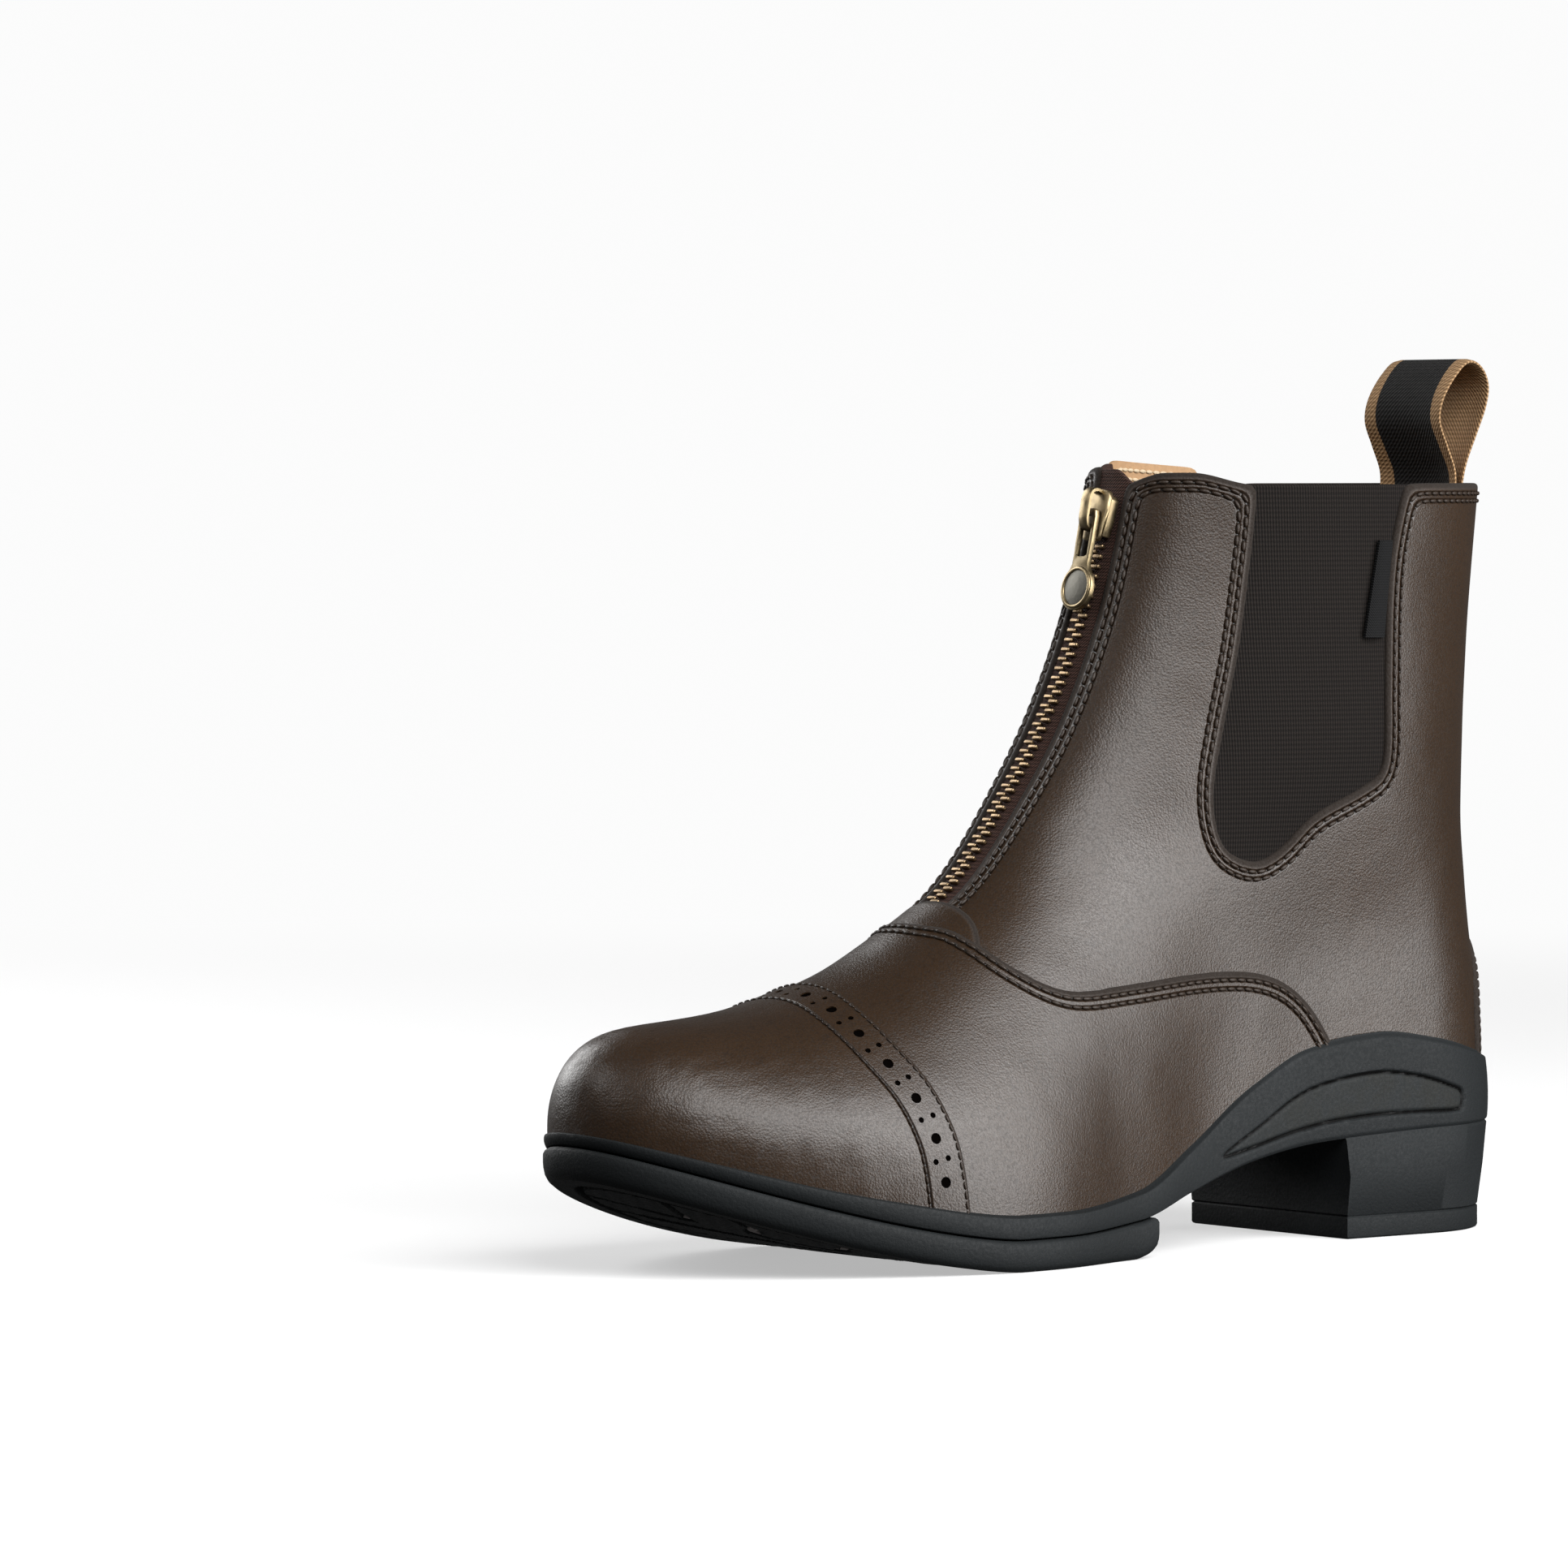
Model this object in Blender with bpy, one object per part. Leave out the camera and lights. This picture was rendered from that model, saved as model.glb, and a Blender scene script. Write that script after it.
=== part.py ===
"""A front-zip paddock boot for the left foot, at its real size.

Metres, +Z up. The toe points to -X and the outer side of the foot to -Y. The origin is on the floor
below the middle of the sole. Run with: blender --background --python part.py
"""

import math
from collections import namedtuple

import bmesh
import bpy
import numpy as np
from mathutils import Matrix, Vector

# Driving sizes of the last and the upper
sole_length = 0.266
ball_width = 0.094
collar_height = 0.180
collar_width = 0.063
ankle_width = 0.068
toe_spring = 0.0230
toe_round = 0.084  # length over which the toe outline rounds to its tip
heel_round = 0.030  # length over which the heel outline rounds to its back
upper_inset = 0.0042  # sole edge that shows outside the upper
upper_wall = 0.0018

# Driving sizes of the sole and the heel
heel_height = 0.026
heel_lift_height = 0.0054
heel_length = 0.060
heel_inset = 0.0012
heel_taper = 0.0018
slab_thickness = 0.0075
forefoot_floor = 0.0022
heel_floor = 0.0060
cup_rise = 0.0200
rand_lip = 0.0016
band_step = 0.0012
edge_bevel = 0.0020
insole_thickness = 0.0022
tread_depth = 0.0022
tread_channel = 0.0034
tread_groove = 0.0018
inlay_width = 0.0022
inlay_recess = 0.0005
tread_frame = 0.0080  # width of the plain border round the tread

# Driving sizes of the pieces laid over the upper, let into it and hung on it
overlay_thickness = 0.0009
cap_thickness = 0.0014
gore_recess = 0.0007
slot_width = 0.0140
slot_foot = 0.469 * collar_height  # height at which the zip's slot ends
tape_recess = 0.0005
tape_thickness = 0.0010
chain_width = 0.0060
chain_rise = 0.0008
slider_drop = 0.0080  # from the collar down to the middle of the slider
slider_length = 0.0125
slider_width = 0.0088
slider_thickness = 0.0030
tab_length = 0.0235
tab_thickness = 0.0012
tab_end_width = 0.0108
loop_width = 0.0270
loop_thickness = 0.0013
loop_rise = 0.0300
loop_bow = 0.0042  # how far the strap's edges curve forward where it follows the collar
label_thickness = 0.0008
counter_length = 0.0120
counter_height = 0.0280

# Clearance between neighbouring pieces
gap = 0.0003

# Mesh fineness
side_points = 30
heel_points = 18
upper_rings = 14

SolePlan = namedtuple("SolePlan", "station half_width centre")
sole_plan = [  # widths as shares of ball_width, before the toe and the heel are rounded
    SolePlan(0.00, 0.328, 0.000),
    SolePlan(0.12, 0.334, 0.000),
    SolePlan(0.26, 0.334, 0.002),
    SolePlan(0.38, 0.336, -0.010),
    SolePlan(0.50, 0.386, -0.030),
    SolePlan(0.61, 0.470, -0.028),
    SolePlan(0.70, 0.500, -0.006),
    SolePlan(0.80, 0.488, 0.022),
    SolePlan(0.90, 0.462, 0.048),
    SolePlan(1.00, 0.430, 0.066),
]

Outline = namedtuple("Outline", "x z")  # points of a side view, as shares of sole_length and collar_height

gore_outline = [
    Outline(0.1770, 1.060),
    Outline(0.1724, 0.995),
    Outline(0.1618, 0.889),
    Outline(0.1468, 0.783),
    Outline(0.1262, 0.677),
    Outline(0.1150, 0.610),
    Outline(0.1150, 0.560),
    Outline(0.1270, 0.522),
    Outline(0.1595, 0.505),
    Outline(0.1881, 0.522),
    Outline(0.2220, 0.564),
    Outline(0.2764, 0.599),
    Outline(0.2985, 0.622),
    Outline(0.3020, 0.680),
    Outline(0.3029, 0.727),
    Outline(0.3110, 0.888),
    Outline(0.3311, 0.995),
    Outline(0.3440, 1.060),
]
vamp_seam = [  # from the front line back to the rand
    Outline(-0.1850, 0.480),
    Outline(-0.1560, 0.436),
    Outline(-0.1377, 0.425),
    Outline(-0.1291, 0.410),
    Outline(-0.1128, 0.382),
    Outline(-0.0837, 0.356),
    Outline(-0.0514, 0.347),
    Outline(0.0150, 0.354),
    Outline(0.0874, 0.362),
    Outline(0.1477, 0.362),
    Outline(0.1876, 0.351),
    Outline(0.2175, 0.328),
    Outline(0.2420, 0.292),
    Outline(0.2640, 0.240),
    Outline(0.2760, 0.180),
]
cap_seam = [  # rear edge of the toe cap, from the front line down to the rand
    Outline(-0.2400, 0.420),
    Outline(-0.2467, 0.356),
    Outline(-0.2511, 0.326),
    Outline(-0.2516, 0.287),
    Outline(-0.2471, 0.238),
    Outline(-0.2409, 0.178),
    Outline(-0.2308, 0.127),
    Outline(-0.2204, 0.086),
    Outline(-0.2060, 0.030),
]
gusset_outline = [
    Outline(-0.1850, 0.560),
    Outline(-0.1330, 0.500),
    Outline(-0.1180, 0.462),
    Outline(-0.1180, 0.430),
    Outline(-0.1240, 0.412),
    Outline(-0.1330, 0.428),
    Outline(-0.1530, 0.444),
    Outline(-0.1800, 0.485),
]
CounterPoint = namedtuple("CounterPoint", "ahead up")
counter_outline = [  # shares of counter_length forward from the back and of counter_height up from the rand
    CounterPoint(-0.30, 1.00),
    CounterPoint(0.05, 1.00),
    CounterPoint(0.40, 0.86),
    CounterPoint(0.74, 0.62),
    CounterPoint(0.94, 0.32),
    CounterPoint(1.00, 0.00),
]
label_outline = [
    Outline(0.2780, 0.800),
    Outline(0.2990, 0.800),
    Outline(0.3100, 0.925),
    Outline(0.2900, 0.925),
]
TreadPoint = namedtuple("TreadPoint", "x y")  # shares of sole_length and ball_width
slab_rear = [  # plan of the slab's rear edge, inner side first
    TreadPoint(-0.0350, 0.5000),
    TreadPoint(-0.0030, 0.4235),
    TreadPoint(0.0110, 0.3088),
    TreadPoint(0.0370, 0.1794),
    TreadPoint(0.0390, 0.1191),
    TreadPoint(0.0200, 0.0426),
    TreadPoint(0.0090, -0.0485),
    TreadPoint(0.0110, -0.1074),
    TreadPoint(0.0190, -0.2206),
    TreadPoint(0.0240, -0.3088),
    TreadPoint(0.0200, -0.5000),
]

SoleSide = namedtuple("SoleSide", "station heel_share cup_share floor_share")
sole_side = [  # shares of heel_height, cup_rise and the step from forefoot_floor to heel_floor
    SoleSide(0.00, 1.00, 0.43, 1.0),
    SoleSide(0.04, 1.00, 0.50, 1.0),
    SoleSide(0.12, 0.98, 0.76, 1.0),
    SoleSide(0.19, 0.94, 0.90, 1.0),
    SoleSide(0.27, 0.87, 0.86, 0.9),
    SoleSide(0.34, 0.71, 0.66, 0.6),
    SoleSide(0.42, 0.38, 0.36, 0.3),
    SoleSide(0.50, 0.08, 0.19, 0.1),
    SoleSide(0.60, 0.00, 0.15, 0.0),
    SoleSide(0.74, 0.00, 0.15, 0.0),
    SoleSide(0.85, 0.00, 0.10, 0.0),
    SoleSide(1.00, 0.00, 0.06, 0.0),
]

FrontLine = namedtuple("FrontLine", "station height")
front_line = [  # top of the toe, instep and front of the shaft, as shares of sole_length and collar_height
    FrontLine(0.9915, 0.165),
    FrontLine(0.9910, 0.205),
    FrontLine(0.9864, 0.250),
    FrontLine(0.9701, 0.283),
    FrontLine(0.9366, 0.304),
    FrontLine(0.8707, 0.312),
    FrontLine(0.8138, 0.323),
    FrontLine(0.7742, 0.341),
    FrontLine(0.7093, 0.375),
    FrontLine(0.6760, 0.404),
    FrontLine(0.6463, 0.432),
    FrontLine(0.6050, 0.472),
    FrontLine(0.5377, 0.590),
    FrontLine(0.4890, 0.699),
    FrontLine(0.4444, 0.846),
    FrontLine(0.4149, 1.000),
]

BackLine = namedtuple("BackLine", "height station")
back_line = [
    BackLine(0.10, 0.0120),
    BackLine(0.23, 0.0099),
    BackLine(0.32, 0.0140),
    BackLine(0.40, 0.0226),
    BackLine(0.47, 0.0292),
    BackLine(0.56, 0.0358),
    BackLine(0.67, 0.0328),
    BackLine(0.77, 0.0257),
    BackLine(0.89, 0.0160),
    BackLine(1.00, 0.0069),
    BackLine(1.10, -0.0002),
]

LoopPoint = namedtuple("LoopPoint", "back rise")
loop_path = [  # side view of the pull loop's middle line, as shares of loop_rise ahead of the back line
    LoopPoint(-0.218, -0.34),
    LoopPoint(-0.208, -0.10),
    LoopPoint(-0.235, 0.10),
    LoopPoint(-0.350, 0.30),
    LoopPoint(-0.462, 0.50),
    LoopPoint(-0.455, 0.68),
    LoopPoint(-0.350, 0.87),
    LoopPoint(-0.215, 0.98),
    LoopPoint(-0.085, 0.95),
    LoopPoint(0.020, 0.80),
    LoopPoint(0.020, 0.62),
    LoopPoint(-0.045, 0.40),
    LoopPoint(-0.115, 0.18),
    LoopPoint(-0.138, 0.00),
    LoopPoint(-0.142, -0.34),
]

tread_bars = {
    "tread_inlay_long": [
        [
            TreadPoint(-0.371, 0.271),
            TreadPoint(-0.334, 0.150),
            TreadPoint(-0.304, 0.066),
            TreadPoint(-0.265, -0.005),
            TreadPoint(-0.226, -0.063),
            TreadPoint(-0.192, -0.116),
            TreadPoint(-0.212, -0.265),
        ],
    ],
    "tread_inlay_comb": [
        [
            TreadPoint(-0.272, 0.262),
            TreadPoint(-0.248, 0.195),
            TreadPoint(-0.214, 0.142),
            TreadPoint(-0.156, 0.043),
            TreadPoint(-0.111, -0.032),
            TreadPoint(-0.128, -0.108),
            TreadPoint(-0.137, -0.199),
            TreadPoint(-0.145, -0.300),
            TreadPoint(-0.119, -0.306),
        ],
        [TreadPoint(-0.214, 0.142), TreadPoint(-0.177, 0.272)],
        [TreadPoint(-0.156, 0.043), TreadPoint(-0.114, 0.242)],
        [TreadPoint(-0.111, -0.032), TreadPoint(-0.086, 0.051), TreadPoint(-0.046, 0.158)],
    ],
    "tread_inlay_short": [
        [TreadPoint(-0.402, 0.130), TreadPoint(-0.369, 0.058)],
    ],
    "tread_inlay_hook": [
        [
            TreadPoint(-0.355, -0.147),
            TreadPoint(-0.325, -0.051),
            TreadPoint(-0.267, -0.139),
            TreadPoint(-0.282, -0.236),
        ],
    ],
}
tread_channels = [  # open channels that part the blocks of the tread
    [TreadPoint(-0.402, 0.130), TreadPoint(-0.449, 0.248)],
    [TreadPoint(-0.369, 0.058), TreadPoint(-0.440, -0.101)],
    [TreadPoint(-0.371, 0.271), TreadPoint(-0.397, 0.345)],
    [TreadPoint(-0.272, 0.262), TreadPoint(-0.322, 0.405)],
    [TreadPoint(-0.177, 0.272), TreadPoint(-0.164, 0.332), TreadPoint(-0.178, 0.415)],
    [TreadPoint(-0.114, 0.242), TreadPoint(-0.095, 0.340)],
    [TreadPoint(-0.046, 0.158), TreadPoint(-0.030, 0.225)],
    [TreadPoint(-0.212, -0.265), TreadPoint(-0.226, -0.425)],
    [TreadPoint(-0.143, -0.303), TreadPoint(-0.150, -0.445)],
    [TreadPoint(-0.355, -0.147), TreadPoint(-0.403, -0.222)],
    [TreadPoint(-0.282, -0.236), TreadPoint(-0.311, -0.345)],
]

FootSection = namedtuple("FootSection", "station squareness bulge")
foot_sections = [  # how boxy each cross-section of the foot is, and how far its side swells
    FootSection(0.00, 2.6, 0.03),
    FootSection(0.40, 2.2, 0.03),
    FootSection(0.55, 1.9, 0.02),
    FootSection(0.65, 1.85, 0.01),
    FootSection(0.75, 2.1, 0.01),
    FootSection(0.85, 2.4, 0.02),
    FootSection(1.00, 2.4, 0.03),
]

ShaftSection = namedtuple("ShaftSection", "height width_share widest front_power back_power")
shaft_sections = [  # width_share runs from ankle_width (0) to collar_width (1)
    ShaftSection(0.30, 0.3, 0.62, 2.0, 2.5),
    ShaftSection(0.50, 0.0, 0.62, 2.0, 2.4),
    ShaftSection(0.65, 0.1, 0.58, 2.0, 2.3),
    ShaftSection(0.85, 0.7, 0.52, 2.0, 2.2),
    ShaftSection(1.00, 1.0, 0.50, 2.1, 2.2),
]
shaft_blend_low = 0.36  # share of collar_height where the foot's sections start to turn into the shaft's
shaft_blend_high = 0.68


def smooth(keys, values, at):
    """A smooth curve through a table's points that never overshoots them, read at the given places."""
    keys, values = np.asarray(keys, float), np.asarray(values, float)
    step = np.diff(keys)
    slope = np.diff(values) / step
    tangent = np.zeros_like(values)
    same_way = slope[:-1] * slope[1:] > 0
    weight_a, weight_b = 2 * step[1:] + step[:-1], step[1:] + 2 * step[:-1]
    with np.errstate(divide="ignore", invalid="ignore"):
        harmonic = (weight_a + weight_b) / (weight_a / slope[:-1] + weight_b / slope[1:])
    tangent[1:-1] = np.where(same_way, harmonic, 0.0)
    tangent[0], tangent[-1] = slope[0], slope[-1]
    at = np.clip(np.asarray(at, float), keys[0], keys[-1])
    i = np.clip(np.searchsorted(keys, at, side="right") - 1, 0, len(step) - 1)
    u = (at - keys[i]) / step[i]
    return (
        values[i] * (1 + 2 * u) * (1 - u) ** 2
        + tangent[i] * step[i] * u * (1 - u) ** 2
        + values[i + 1] * u**2 * (3 - 2 * u)
        + tangent[i + 1] * step[i] * u**2 * (u - 1)
    )


def read(table, key, column, at):
    """One column of a table, read smoothly at the given values of its key column."""
    rows = sorted(table, key=lambda row: getattr(row, key))
    return smooth([getattr(r, key) for r in rows], [getattr(r, column) for r in rows], at)


def ease(share):
    share = np.clip(share, 0.0, 1.0)
    return share * share * (3 - 2 * share)


def rounding(distance, length, power=2.2):
    """Share of full width at a distance from an end that rounds off over the given length."""
    inward = 1 - np.clip(distance / length, 0.0, 1.0)
    return (1 - inward**power) ** (1 / power)


def station_of(x):
    """0 at the back of the heel, 1 at the tip of the toe."""
    return 0.5 - np.asarray(x, float) / sole_length


def x_of(station):
    return (0.5 - np.asarray(station, float)) * sole_length


def full_half_width(x):
    return read(sole_plan, "station", "half_width", station_of(x)) * ball_width


def centre_of(x):
    return read(sole_plan, "station", "centre", station_of(x)) * ball_width


def plan_half_width(x, inset):
    """Half width of the sole's outline, drawn in by an inset."""
    x = np.asarray(x, float)
    toe = rounding(x - (x_of(1.0) + inset), toe_round)
    heel = rounding((x_of(0.0) - inset) - x, heel_round)
    return (full_half_width(x) - inset) * toe * heel


spring_start = 0.656  # station where the tread leaves the floor
spring_power = 1.5


def tread_z(x):
    share = np.clip((station_of(x) - spring_start) / (1 - spring_start), 0.0, 1.0)
    return toe_spring * share**spring_power


def split_z(x):
    """Height of the line between the sole unit and the slab or heel under it."""
    heel = read(sole_side, "station", "heel_share", station_of(x))
    return tread_z(x) + slab_thickness * (1 - heel) + heel_height * heel


def bed_z(x):
    """Height of the surface that the insole lies on."""
    share = read(sole_side, "station", "floor_share", station_of(x))
    return split_z(x) + forefoot_floor + (heel_floor - forefoot_floor) * share


def rand_z(x):
    """Height of the edge where the sole unit ends against the upper."""
    return bed_z(x) + cup_rise * read(sole_side, "station", "cup_share", station_of(x))


def front_path(share):
    """Points of the front line at shares of its length, from the toe to the collar."""
    x = np.array([float(x_of(row.station)) for row in front_line])
    z = np.array([row.height * collar_height for row in front_line])
    run = np.concatenate([[0], np.cumsum(np.hypot(np.diff(x), np.diff(z)))])
    return smooth(run / run[-1], x, share), smooth(run / run[-1], z, share)


path_shares = np.linspace(0, 1, 400)
path_x, path_z = front_path(path_shares)
over_collar = 5.0  # slope at which the front line is carried on above the collar


def front_z(x):
    """Height of the front line over a place on the sole."""
    above = path_z[-1] + (np.asarray(x, float) - path_x[-1]) * over_collar
    return np.where(x > path_x[-1], above, np.interp(x, path_x, path_z))


def front_x(z):
    above = path_x[-1] + (np.asarray(z, float) - path_z[-1]) / over_collar
    return np.where(z > path_z[-1], above, np.interp(z, path_z, path_x))


def back_x(z):
    return x_of(read(back_line, "height", "station", np.asarray(z, float) / collar_height))


def upper_half_width(x, z):
    """Half width of the upper's outside at a point of its side view."""
    x, z = np.asarray(x, float), np.asarray(z, float)
    height = z / collar_height
    station = station_of(x)

    reach = np.maximum(front_z(x) - bed_z(x), 1e-6)
    rise = np.clip((z - bed_z(x)) / reach, 0.0, 1.0)
    power = read(foot_sections, "station", "squareness", station)
    swell = 1 + read(foot_sections, "station", "bulge", station) * np.sin(np.pi * np.minimum(rise / 0.7, 1))
    toe = rounding(x - path_x[0], toe_round - upper_inset)
    heel = rounding(back_x(z) - x, heel_round)
    foot = (full_half_width(x) - upper_inset) * toe * heel * swell * np.sqrt(1 - rise**power)

    depth = np.maximum(back_x(z) - front_x(z), 1e-6)
    place = np.clip((x - front_x(z)) / depth, 0.0, 1.0)
    widest = read(shaft_sections, "height", "widest", height)
    front_power = read(shaft_sections, "height", "front_power", height)
    back_power = read(shaft_sections, "height", "back_power", height)
    ahead = np.clip((widest - place) / widest, 0.0, 1.0)
    behind = np.clip((place - widest) / (1 - widest), 0.0, 1.0)
    width = ankle_width + (collar_width - ankle_width) * read(
        shaft_sections, "height", "width_share", height
    )
    oval = (1 - ahead**front_power) ** (1 / front_power) * (1 - behind**back_power) ** (1 / back_power)
    shaft = width / 2 * oval

    turn = ease((height - shaft_blend_low) / (shaft_blend_high - shaft_blend_low))
    return foot + (shaft - foot) * turn


def upper_centre(x, z):
    turn = ease((z / collar_height - shaft_blend_low) / (shaft_blend_high - shaft_blend_low))
    return centre_of(x) * (1 - turn)


def ring_shares(count=None):
    """Places from the front end (0) to the back end (1) of a ring, closer together at its round ends."""
    turn = np.linspace(0, np.pi, count or side_points)
    return (1 - np.cos(turn)) / 2


def close_ring(x, half, centre, z):
    """A closed ring: along the outer side from toe to heel, then back along the inner side."""
    outer = np.stack([x, centre - half, z], axis=-1)
    inner = np.stack([x, centre + half, z], axis=-1)[-2:0:-1]
    return np.concatenate([outer, inner])


def trace_ring(trace, count=None):
    """The upper's outline along a trace: a function that gives a height for each place on the sole."""
    x = np.linspace(float(x_of(1.0)), float(x_of(-0.01)), 12001)
    z = trace(x)
    inside = x[(z <= front_z(x)) & (x >= path_x[0]) & (x <= back_x(z))]
    x = inside[0] + (inside[-1] - inside[0]) * ring_shares(count)
    z = trace(x)
    return close_ring(x, upper_half_width(x, z), upper_centre(x, z), z)


def level_trace(share, top):
    """Traces that follow the bed at share 0 and turn level by the given top height at share 1."""
    low = heel_height + heel_floor

    def trace(x):
        return low + (top - low) * share + (bed_z(x) + gap - low) * (1 - share) ** 2

    return trace


def upper_grid(rings, top=collar_height):
    """The upper's outside as a grid of rings, with the outward direction at every point."""
    shares = np.linspace(0, 1, rings) ** 1.15
    points = np.array([trace_ring(level_trace(share, top)) for share in shares])
    along = np.roll(points, -1, axis=1) - np.roll(points, 1, axis=1)
    up = np.gradient(points, axis=0)
    normals = np.cross(along, up)
    normals /= np.linalg.norm(normals, axis=2, keepdims=True)
    return points, normals


def offset_ring(ring, distance):
    """A ring moved outwards in plan by one distance or by one for each point."""
    along = np.roll(ring, -1, axis=0) - np.roll(ring, 1, axis=0)
    outward = np.stack([along[:, 1], -along[:, 0]], axis=1)
    outward /= np.linalg.norm(outward, axis=1, keepdims=True)
    moved = ring.copy()
    moved[:, :2] += outward * np.reshape(distance, (-1, 1))
    return moved


def plan_ring(inset, height, count=None):
    """The sole's outline drawn in by an inset, at heights given by a function."""
    length = sole_length - 2 * inset
    x = float(x_of(1.0)) + inset + length * ring_shares(count)
    return close_ring(x, plan_half_width(x, inset), centre_of(x), height(x))


def smooth_line(points, per_span=4, closed=False):
    """A curve through points, rounded at each of them."""
    points = np.asarray(points, float)
    if closed:
        padded = np.concatenate([points[-1:], points, points[:2]])
    else:
        padded = np.concatenate([2 * points[:1] - points[1:2], points, 2 * points[-1:] - points[-2:-1]])
    out = []
    for p0, p1, p2, p3 in zip(padded[:-3], padded[1:-2], padded[2:-1], padded[3:]):
        for u in np.arange(per_span) / per_span:
            turn = (2 * p0 - 5 * p1 + 4 * p2 - p3) * u * u + (3 * p1 - p0 - 3 * p2 + p3) * u**3
            out.append(0.5 * (2 * p1 + (p2 - p0) * u + turn))
    if not closed:
        out.append(points[-1])
    return np.array(out)


def side_points_of(table, per_span=4, closed=False):
    """A table's side-view points in metres, joined by a smooth curve."""
    points = [(row.x * sole_length, row.z * collar_height) for row in table]
    return smooth_line(points, per_span, closed)


for leftover in list(bpy.data.objects):
    bpy.data.objects.remove(leftover)


def material(name, colour, roughness, metallic=0.0):
    made = bpy.data.materials.new(name)
    made.use_nodes = True
    surface = made.node_tree.nodes["Principled BSDF"]
    surface.inputs["Base Color"].default_value = (*colour, 1.0)
    surface.inputs["Roughness"].default_value = roughness
    surface.inputs["Metallic"].default_value = metallic
    return made


leather = material("leather", (0.045, 0.024, 0.015), 0.42)
elastic = material("elastic", (0.018, 0.012, 0.010), 0.90)
zip_cloth = material("zip_tape", (0.035, 0.018, 0.015), 0.90)
antique_brass = material("antique_brass", (0.22, 0.16, 0.08), 0.38, 1.0)
sole_rubber = material("sole_rubber", (0.020, 0.022, 0.026), 0.75)
inlay_rubber = material("inlay_rubber", (0.22, 0.19, 0.18), 0.70)
lining = material("lining", (0.48, 0.30, 0.15), 0.80)
webbing = material("webbing", (0.015, 0.014, 0.014), 0.90)
label_cloth = material("label_cloth", (0.012, 0.012, 0.013), 0.80)

cutters = bpy.data.collections.new("cutters")
bpy.context.scene.collection.children.link(cutters)


def mesh_object(name, points, faces, look=None, collection=None):
    """A mesh object whose faces are made to point outwards."""
    mesh = bpy.data.meshes.new(name)
    mesh.from_pydata([tuple(p) for p in np.asarray(points, float)], [], faces)
    made = bpy.data.objects.new(name, mesh)
    (collection or bpy.context.scene.collection).objects.link(made)
    built = bmesh.new()
    built.from_mesh(mesh)
    bmesh.ops.recalc_face_normals(built, faces=built.faces)
    built.to_mesh(mesh)
    built.free()
    if look:
        mesh.materials.append(look)
    if collection:
        made.hide_render = True
        made.display_type = "WIRE"
    return made


def ladder(first, count, half):
    """Faces across a ring of points: half is the number of points along its outer side."""
    last = 2 * half - 2
    faces = []
    for i in range(half - 1):
        corners = []
        for step in (i, i + 1, last - i - 1, last - i):
            corner = first + (step % count)
            if corner not in corners:
                corners.append(corner)
        faces.append(corners)
    return faces


def ring_faces(rings, count):
    faces = []
    for ring in range(rings - 1):
        for i in range(count):
            j = (i + 1) % count
            faces.append([ring * count + i, ring * count + j, (ring + 1) * count + j, (ring + 1) * count + i])
    return faces


def stack(name, rings, look, collection=None):
    """A solid through a stack of rings, closed across its first and last ring."""
    rings = np.array(rings)
    count, half = rings.shape[1], rings.shape[1] // 2 + 1
    faces = ring_faces(len(rings), count)
    faces += ladder(0, count, half) + ladder((len(rings) - 1) * count, count, half)
    return mesh_object(name, rings.reshape(-1, 3), faces, look, collection)


def shell(name, grid, inner, outer, look):
    """A tube-like wall between two distances from the upper's outside.

    Both skins are split into triangles the same way, so that walls side by side keep their distance.
    """
    points, normals = grid
    rings, count = points.shape[:2]
    skins = np.concatenate([points + normals * outer, points + normals * inner])
    faces = []
    for i in range(count):
        j = (i + 1) % count
        for skin in (0, rings * count):
            for ring in range(rings - 1):
                low, high = skin + ring * count, skin + (ring + 1) * count
                faces += [[low + i, low + j, high + j], [low + i, high + j, high + i]]
        for edge in (0, (rings - 1) * count):
            far = edge + rings * count
            faces.append([edge + i, edge + j, far + j, far + i])
    return mesh_object(name, skins.reshape(-1, 3), faces, look)


def prism(name, outline, low, high):
    """A cutter with a side-view outline, running across the boot between two sideways places."""
    outline = np.asarray(outline)
    count = len(outline)
    sides = [np.stack([outline[:, 0], np.full(count, y), outline[:, 1]], axis=1) for y in (low, high)]
    faces = [list(range(count)), list(range(count, 2 * count))]
    faces += [[i, (i + 1) % count, count + (i + 1) % count, count + i] for i in range(count)]
    return mesh_object(name, np.concatenate(sides), faces, None, cutters)


def ribbon(name, line, width, low, high, collection=None, look=None, closed=False):
    """A bar along a plan line, whose underside and top follow two functions of its x and y."""
    line = np.asarray(line, float)
    along = np.roll(line, -1, axis=0) - np.roll(line, 1, axis=0) if closed else np.gradient(line, axis=0)
    along /= np.linalg.norm(along, axis=1, keepdims=True)
    across = np.stack([-along[:, 1], along[:, 0]], axis=1) * width / 2
    left, right = line + across, line - across
    corners = []
    for side, edge in ((left, 0), (left, 1), (right, 1), (right, 0)):
        height = (low, high)[edge](side[:, 0], side[:, 1])
        corners.append(np.column_stack([side, height]))
    points = np.stack(corners, axis=1).reshape(-1, 3)
    count = len(line)
    faces = [] if closed else [[0, 1, 2, 3], [4 * count - 4 + a for a in (3, 2, 1, 0)]]
    for i in range(count if closed else count - 1):
        j = (i + 1) % count
        for a in range(4):
            b = (a + 1) % 4
            faces.append([4 * i + a, 4 * i + b, 4 * j + b, 4 * j + a])
    return mesh_object(name, points, faces, look, collection)


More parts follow.
